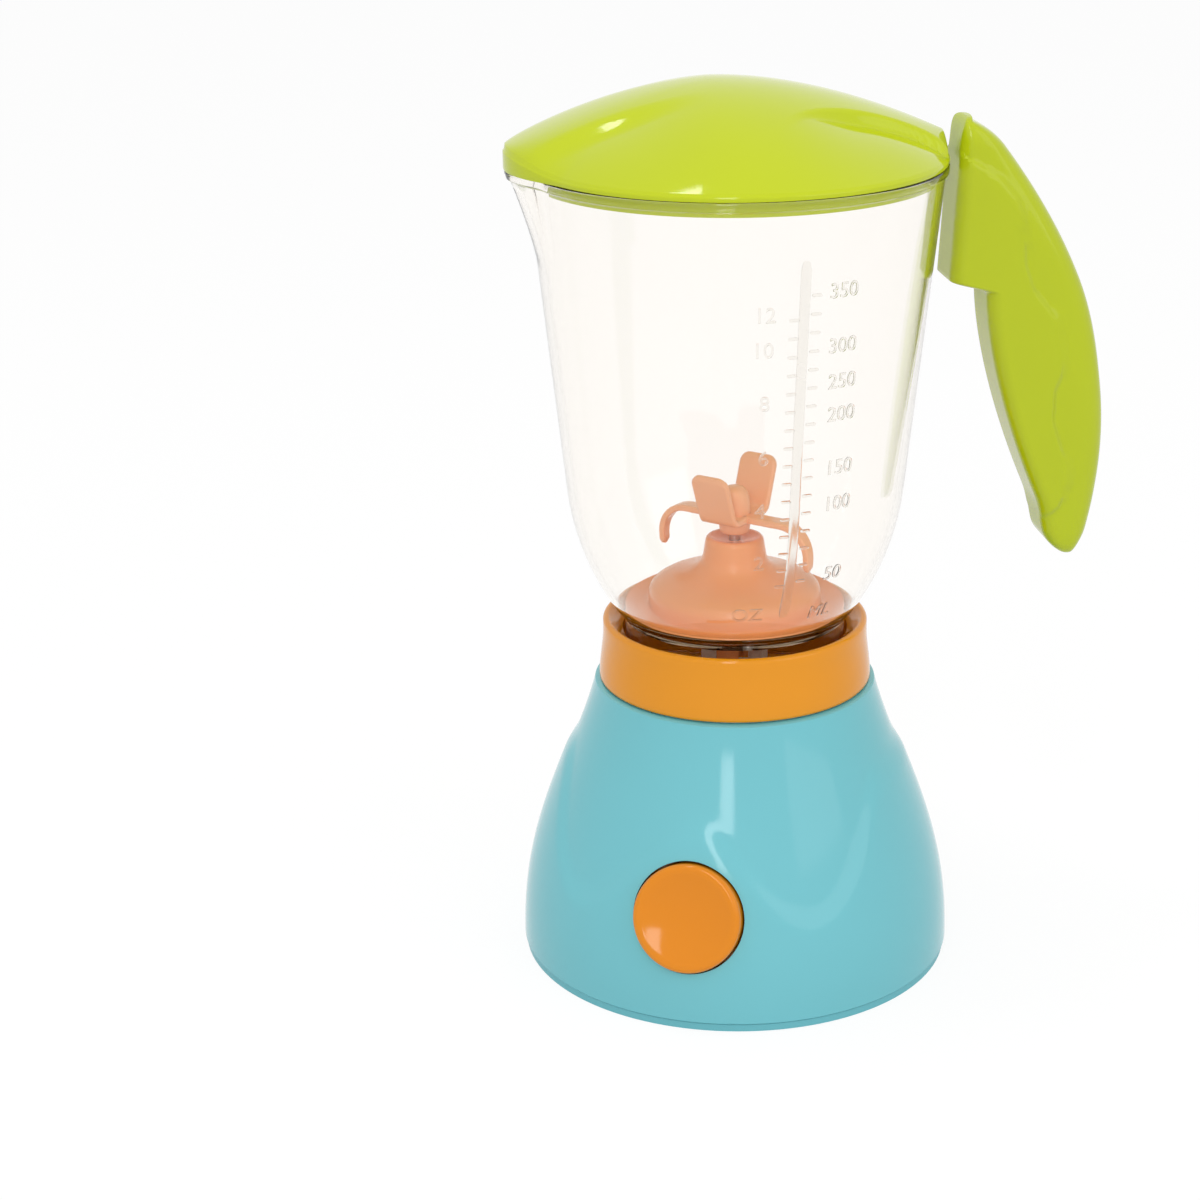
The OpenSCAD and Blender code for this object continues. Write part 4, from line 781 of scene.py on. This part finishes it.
def ridge(x, s=lidSettings):
    if x < s["peak"]:
        fall, power = (s["peak"] - x) / (s["spoutReach"] + s["peak"]), s["spoutPower"]
        return s["rise"] - (s["rise"] - s["spoutRise"]) * fall ** power
    fall, power = (x - s["peak"]) / (s["reach"] - s["peak"]), s["handlePower"]
    return s["rise"] - (s["rise"] - s["handleRise"]) * fall ** power


# Top of the lid above its seat. The band stands out of a scoop on each flank, and the step beside it is crisp
# towards the handle and soft towards the spout.
def lidTop(x, y, s=lidSettings):
    degrees = math.degrees(math.atan2(y, x))
    edge, low = lidEdge(degrees), s["edge"] + s["tab"] * overSpout(degrees)
    half = math.sqrt(max(1.0, edge * edge - x * x))
    v = min(1.0, abs(y) / half)
    band = s["band"]
    if x > s["flat"]:
        band += s["spread"] * (max(0, s["spreadFrom"] - x) / s["spreadRun"]) ** s["spreadPower"]
    past = abs(y) - band
    left = max(0.0, min(1.0, 1 - past / max(half - band, 1.0)))
    handleSide = smooth((x - s["stepFrom"]) / s["stepRun"])
    run, scoop = mix(s["slope"], s["step"], handleSide), mix(s["scoop"], s["handleScoop"], handleSide)
    ends = smooth((abs(x - s["flat"]) - s["scoopFrom"]) / s["scoopRun"])
    ends *= smooth((x + s["spoutReach"] + s["spoutEnd"]) / s["spoutRun"])
    deep = scoop * ends * smooth(past / run) * left ** s["flankPower"]
    return max(low, low + (ridge(x) - low) * (1 - v * v) - deep)


# The lid's rings run from the middle of its underside, round the edge, to the middle of its top
def makeLid(s=lidSettings):
    seat, foot, rounding = s["seat"], s["seat"] - 0.1 - s["skirt"], s["edgeRound"]
    skirtIn = s["skirtRadius"] - s["skirtWall"]

    def standing(a):      # 1 where there is a skirt, 0 over the spout
        return smooth((abs((a + 360) % 360 - 180) - s["spoutHalf"] - 1) / 1.5)

    def under(r, a, drop=0.0):
        x, y = polar(r, a)
        return r, seat + lidTop(x, y) - s["wall"] - drop

    quarter = math.pi / 2
    rings = [lambda a, r=mix(s["middle"], skirtIn, math.sin(quarter * k / s["underRings"])): under(r, a)
             for k in range(s["underRings"] + 1)]
    for r in (skirtIn, s["skirtRadius"]):
        rings.append(lambda a, r=r: (r, mix(under(r, a, 0.3)[1], foot, standing(a))))
    rings.append(lambda a: under(s["skirtRadius"], a))
    for inset, lift in ((s["seatWidth"], 0), (0.4, 0), (0.1, 0.1), (0, 0.4), (0, 1)):
        rings.append(lambda a, inset=inset, lift=lift: (lidEdge(a) - inset, seat + lift))
    for k in range(4):      # the edge stands up over the spout, and is rounded at its top
        def rim(a, turn=math.pi / 8 * k):
            height = s["edge"] + s["tab"] * overSpout(a)
            return lidEdge(a) - rounding * (1 - math.cos(turn)), seat + height - rounding * (1 - math.sin(turn))
        rings.append(rim)
    for k in range(s["rings"], -1, -1):
        def top(a, k=k):
            r = max(s["middle"], (lidEdge(a) - rounding) * math.sin(quarter * k / s["rings"]))
            return r, seat + lidTop(*polar(r, a))
        rings.append(top)
    lid = turnProfile("limeLid", [(10, k) for k in range(len(rings))], s["steps"], closed=False)

    def toLid(p):
        a = math.degrees(math.atan2(p.y, p.x))
        r, z = rings[round(p.z)](a)
        return Vector((*polar(r, a), z))
    shape(lid, toLid)
    return moveMesh(lid, jarSpin)


place(makeLid(), "lid", finishes["lidGreen"], ["lid"])
print("lid ready")


# The handle stands in the plane of X and Z before its turn: its outlines lie flat, one at each level
handleSettings = {
    "tip": 112, "top": 235, "width": 19.6, "levels": 190,
    "reach": 102.4, "bulge": 146, "bow": 0.0048, "shoulder": 1.1, "shoulderFrom": 160, "shoulderRun": 30,
    "gripTop": 188, "gripIn": 67.3, "gripBow": 0.0237, "gripPower": 1.6,
    "slope": 4, "slopeRings": 12, "gap": 3.4, "flare": 1.6,
    "outerRound": 12, "outerPower": 0.72, "innerRound": 3.6, "arc": 24, "flat": 44, "corner": 10, "innerSteps": 8,
    "tipRun": 7.5, "tipShift": 1.5, "tipFull": 2.6, "tipFullFrom": 18, "tipFullRun": 15,
    "topRun": 8, "topShift": 2, "topDrop": 7, "endPower": 0.22,
    "panel": 1.2, "panelEdge": 1.7, "seamGap": 0.004,
    "wave": [
        (62, 224), (69.4, 219.5), (74.5, 213.7), (76.6, 208), (77, 196), (79.6, 189), (86.7, 180), (89, 172),
        (88.5, 165), (86.7, 160.6), (86.5, 152), (89.4, 143.4), (92, 139), (92.2, 134), (89, 127), (85, 124),
    ],
    "screwHeights": [170, 133], "screwHead": 2.8, "screwSunk": 2.6, "screwBore": 20,
}


def handleOut(z, s=handleSettings):
    shoulder = s["shoulder"] * smooth((z - s["shoulderFrom"]) / s["shoulderRun"])
    return s["reach"] - s["bow"] * (z - s["bulge"]) ** 2 + shoulder


def handleIn(z, s=handleSettings):
    if z < s["gripTop"]:
        return s["gripIn"] + s["gripBow"] * (s["gripTop"] - z) ** s["gripPower"]
    flare = s["flare"] * max(0, shared["rim"] - z) / (shared["rim"] - s["gripTop"] - s["slope"])
    return mix(s["gripIn"], jarRadius(z) + s["gap"] + flare, smooth((z - s["gripTop"]) / s["slope"]))


# Outline of the handle across: a long round outside, flat sides and a small round along the inside
def handleOutline(inner, outer, half, s=handleSettings):
    depth, steps = outer - inner, s["innerSteps"]
    big, small = min(s["outerRound"], depth * 0.62), min(s["innerRound"], depth * 0.3, half * 0.5)
    points = [(outer - big * (1 - math.cos(a) ** s["outerPower"]), half * math.sin(a) ** s["outerPower"])
              for a in (math.pi / 2 * (k / s["arc"]) ** 1.3 for k in range(s["arc"]))]
    points += [(mix(outer - big, inner + small, k / s["flat"]), half) for k in range(s["flat"])]
    points += [(inner + small * (1 - math.sin(a)), half - small * (1 - math.cos(a)))
               for a in (math.pi / 2 * k / s["corner"] for k in range(s["corner"]))]
    points += [(inner, mix(half - small, 0, k / steps)) for k in range(steps + 1)]
    return points + [(x, -y) for x, y in points[-2:0:-1]]


# Distance of a point in the handle's plane to its wavy line, below 0 on the jar's side of it
def waveSide(r, z, s=handleSettings):
    nearest, side = 99.0, 1
    for (r0, z0), (r1, z1) in zip(s["wave"], s["wave"][1:]):
        dr, dz = r1 - r0, z1 - z0
        t = max(0.0, min(1.0, ((r - r0) * dr + (z - z0) * dz) / (dr * dr + dz * dz)))
        away = math.hypot(r - r0 - t * dr, z - z0 - t * dz)
        if away < nearest:
            nearest, side = away, math.copysign(1, dr * (z - z0) - dz * (r - r0))
    return nearest * side


def makeHandle(s=handleSettings):
    tip, top = s["tip"], s["top"]
    below, slopeRings = round(s["levels"] * (s["gripTop"] - tip) / (top - tip)), s["slopeRings"]
    low, high = below - slopeRings // 2, s["levels"] - below - slopeRings // 2
    levels = [tip + (s["gripTop"] - tip) * (1 - math.cos(math.pi / 2 * k / low)) ** 0.9 for k in range(low)]
    levels += [s["gripTop"] + s["slope"] * k / slopeRings for k in range(slopeRings + 1)]
    levels += [s["gripTop"] + s["slope"] + (top - s["gripTop"] - s["slope"]) * math.sin(math.pi / 2 * k / high)
               for k in range(1, high + 1)]
    outlines = []
    for z in levels:
        left = max(0.0, min(1, (z - tip) / s["tipRun"], (top - z) / s["topRun"]))
        end = math.sqrt(max(0.02, left * (2 - left)))
        full = s["tipFull"] * smooth((tip + s["tipFullFrom"] - z) / s["tipFullRun"])
        inner, outer = handleIn(z) - full, handleOut(z)
        if z < s["bulge"]:
            middle, reach = (inner + outer) / 2 + (1 - end) * s["tipShift"], (outer - inner) / 2 * end
            inner, outer = middle - reach, middle + reach
        else:
            inner, outer = inner + s["topShift"] * (1 - end) ** 2, max(outer - s["topDrop"] * (1 - end), inner + 3)
        half = s["width"] / 2 * max(0.004, left * (2 - left)) ** s["endPower"]
        outlines.append(handleOutline(inner, outer, half))
    steps = len(outlines[0])
    form = turnProfile("handleForm", [(10, k) for k in range(len(levels))], steps, closed=False)

    def toHandle(p):
        level = round(p.z)
        z = levels[level]
        x, y = outlines[level][round(math.atan2(p.y, p.x) / (2 * math.pi) * steps) % steps]
        if abs(y) > 0.01:        # the whole section is thinner by the panel's depth outside the wavy line
            y *= 1 - 2 * s["panel"] / s["width"] * smooth(waveSide(x, z) / s["panelEdge"] + 0.5)
        return Vector((x, y, z))
    shape(form, toHandle)
    halves = []
    for side, name in ((-1, "handleFront"), (1, "handleRear")):
        half = editWhole(copyOf(form, name), lambda: bpy.ops.mesh.bisect(
            plane_co=(0, 0, 0), plane_no=(0, side, 0), use_fill=True, clear_inner=True, threshold=1e-7))

        def seam(p, side=side):        # leaves a hair's gap along the parting line
            return p if abs(p.y) > 0.01 else Vector((p.x, side * s["seamGap"], p.z))
        shape(half, seam)
        if side > 0:
            for z in s["screwHeights"]:
                clearSelection()
                x, y = (handleIn(z) + handleOut(z)) / 2, (s["width"] + s["screwBore"]) / 2 - s["screwSunk"]
                bpy.ops.mesh.primitive_cylinder_add(
                    vertices=48, radius=s["screwHead"] * mm, depth=s["screwBore"] * mm,
                    rotation=(math.pi / 2, 0, 0), location=(x * mm, y * mm, z * mm))
                tool = bpy.context.object
                bpy.ops.object.transform_apply(location=True, rotation=True, scale=True)
                cutWith(half, tool)
        halves.append(moveMesh(half, jarSpin))
    bpy.data.objects.remove(form)
    return halves


front, rear = makeHandle()
place(front, "jar", finishes["handleGreen"], ["handle_front"])
place(rear, "jar", finishes["handleGreen"], ["handle_rear"])
print("handle ready")


# The blade stand, by (radius, height above the jar's floor): a thin flange, a low cone and a stem, all hollow
standSettings = {
    "steps": 144, "axle": 1.56, "tube": 3.6, "tubeTop": 17.6,
    "outside": [
        (26.4, 0.05), (29, 0.35), (30.9, 1.2), (30.6, 1.75), (28.8, 1.05), (26.3, 0.75), (24.5, 0.75),
        (24.1, 1), (24, 1.6), (24, 4.6), (23.6, 5.9), (22.6, 7.0), (21, 8.0), (19, 8.8), (16.8, 9.5),
        (14.6, 10.2), (12.4, 11.0), (10.6, 12.1), (9.4, 13.4), (8.8, 15), (8.45, 17), (8.15, 19),
        (7.95, 19.9), (7.5, 20.4), (6.9, 20.5), (6.3, 20.3), (4.6, 19.7), (3, 19.35), (1.56, 19.3),
    ],
    "inside": [(6.2, 17.6), (6.8, 12), (9.4, 9.6), (20.6, 5.6), (22.2, 4), (22.2, 0)],
}


def makeStand(s=standSettings):
    bore = [(s["axle"], 0), (s["tube"], 0), (s["tube"], s["tubeTop"])]
    profile = [(r, jarSettings["floor"] + z) for r, z in s["outside"] + bore + s["inside"]]
    return turnProfile("bladeStand", profile, s["steps"])


place(makeStand(), "jar", finishes["coral"], ["blade_stand"])

# The rotor: a hub with two paddles that lean up and two hooks that bend down, each from one flat strip
rotorSettings = {
    "turn": -109, "low": 122.9, "armHeight": 127.4, "thick": 1.8, "round": 0.5,
    "hookEnd": 0.62, "narrowFrom": 0.35, "narrowRun": 0.6,
    "hub": [
        (1.6, 0), (3.9, 0), (4.15, 0.3), (4.3, 1.6), (4.3, 7), (4.2, 8.8), (3.9, 10.4), (3.3, 11.8), (2.4, 12.7),
        (1.3, 13.1), (0.3, 13.2),
    ],
    "paddle": {"long": 23, "wide": 11.5, "corner": 3, "flat": 6.3, "bend": 2.6, "lean": 70},
    "hook": {"long": 32, "wide": 5, "corner": 2, "flat": 15, "bend": 8.4, "lean": -92},
}


# A point at a distance along a strip that is flat, then bent, then straight
def alongBend(s, z, flat, radius, degrees):
    sign = math.copysign(1, degrees)
    z *= sign
    turn = math.radians(abs(degrees))
    a = max(0.0, min(turn, (s - flat) / radius))
    rest = max(0.0, s - flat - radius * turn)
    x = min(s, flat) + (radius - z) * math.sin(a) + rest * math.cos(a)
    return x, sign * (radius - (radius - z) * math.cos(a) + rest * math.sin(a))


def makeRotor(s=rotorSettings):
    pieces = [turnProfile("hub", [(r, s["low"] + z) for r, z in s["hub"]], 72, closed=False)]
    for kind, turns in (("paddle", (0, 180)), ("hook", (90, 270))):
        k = s[kind]
        strip = gridCube(kind, 26)

        def toStrip(p, k=k, kind=kind):
            x, y, z = platePoint(p, k["long"], k["wide"], s["thick"], k["corner"], s["round"])
            far = (x + k["long"] / 2) / k["long"]
            if kind == "hook":
                y *= mix(1, s["hookEnd"], smooth((far - s["narrowFrom"]) / s["narrowRun"]))
            x, up = alongBend(far * k["long"], z, k["flat"], k["bend"], k["lean"])
            return Vector((x, y, s["armHeight"] + up))
        shape(strip, toStrip)
        for turn in turns:
            pieces.append(moveMesh(copyOf(strip, kind), Matrix.Rotation(math.radians(turn), 4, "Z")))
        bpy.data.objects.remove(strip)
    return moveMesh(joinPieces(pieces, "bladeRotor"), Matrix.Rotation(math.radians(s["turn"]), 4, "Z"))


place(makeRotor(), "blades", finishes["bladeOrange"], ["blade_rotor"])
print("blades ready")
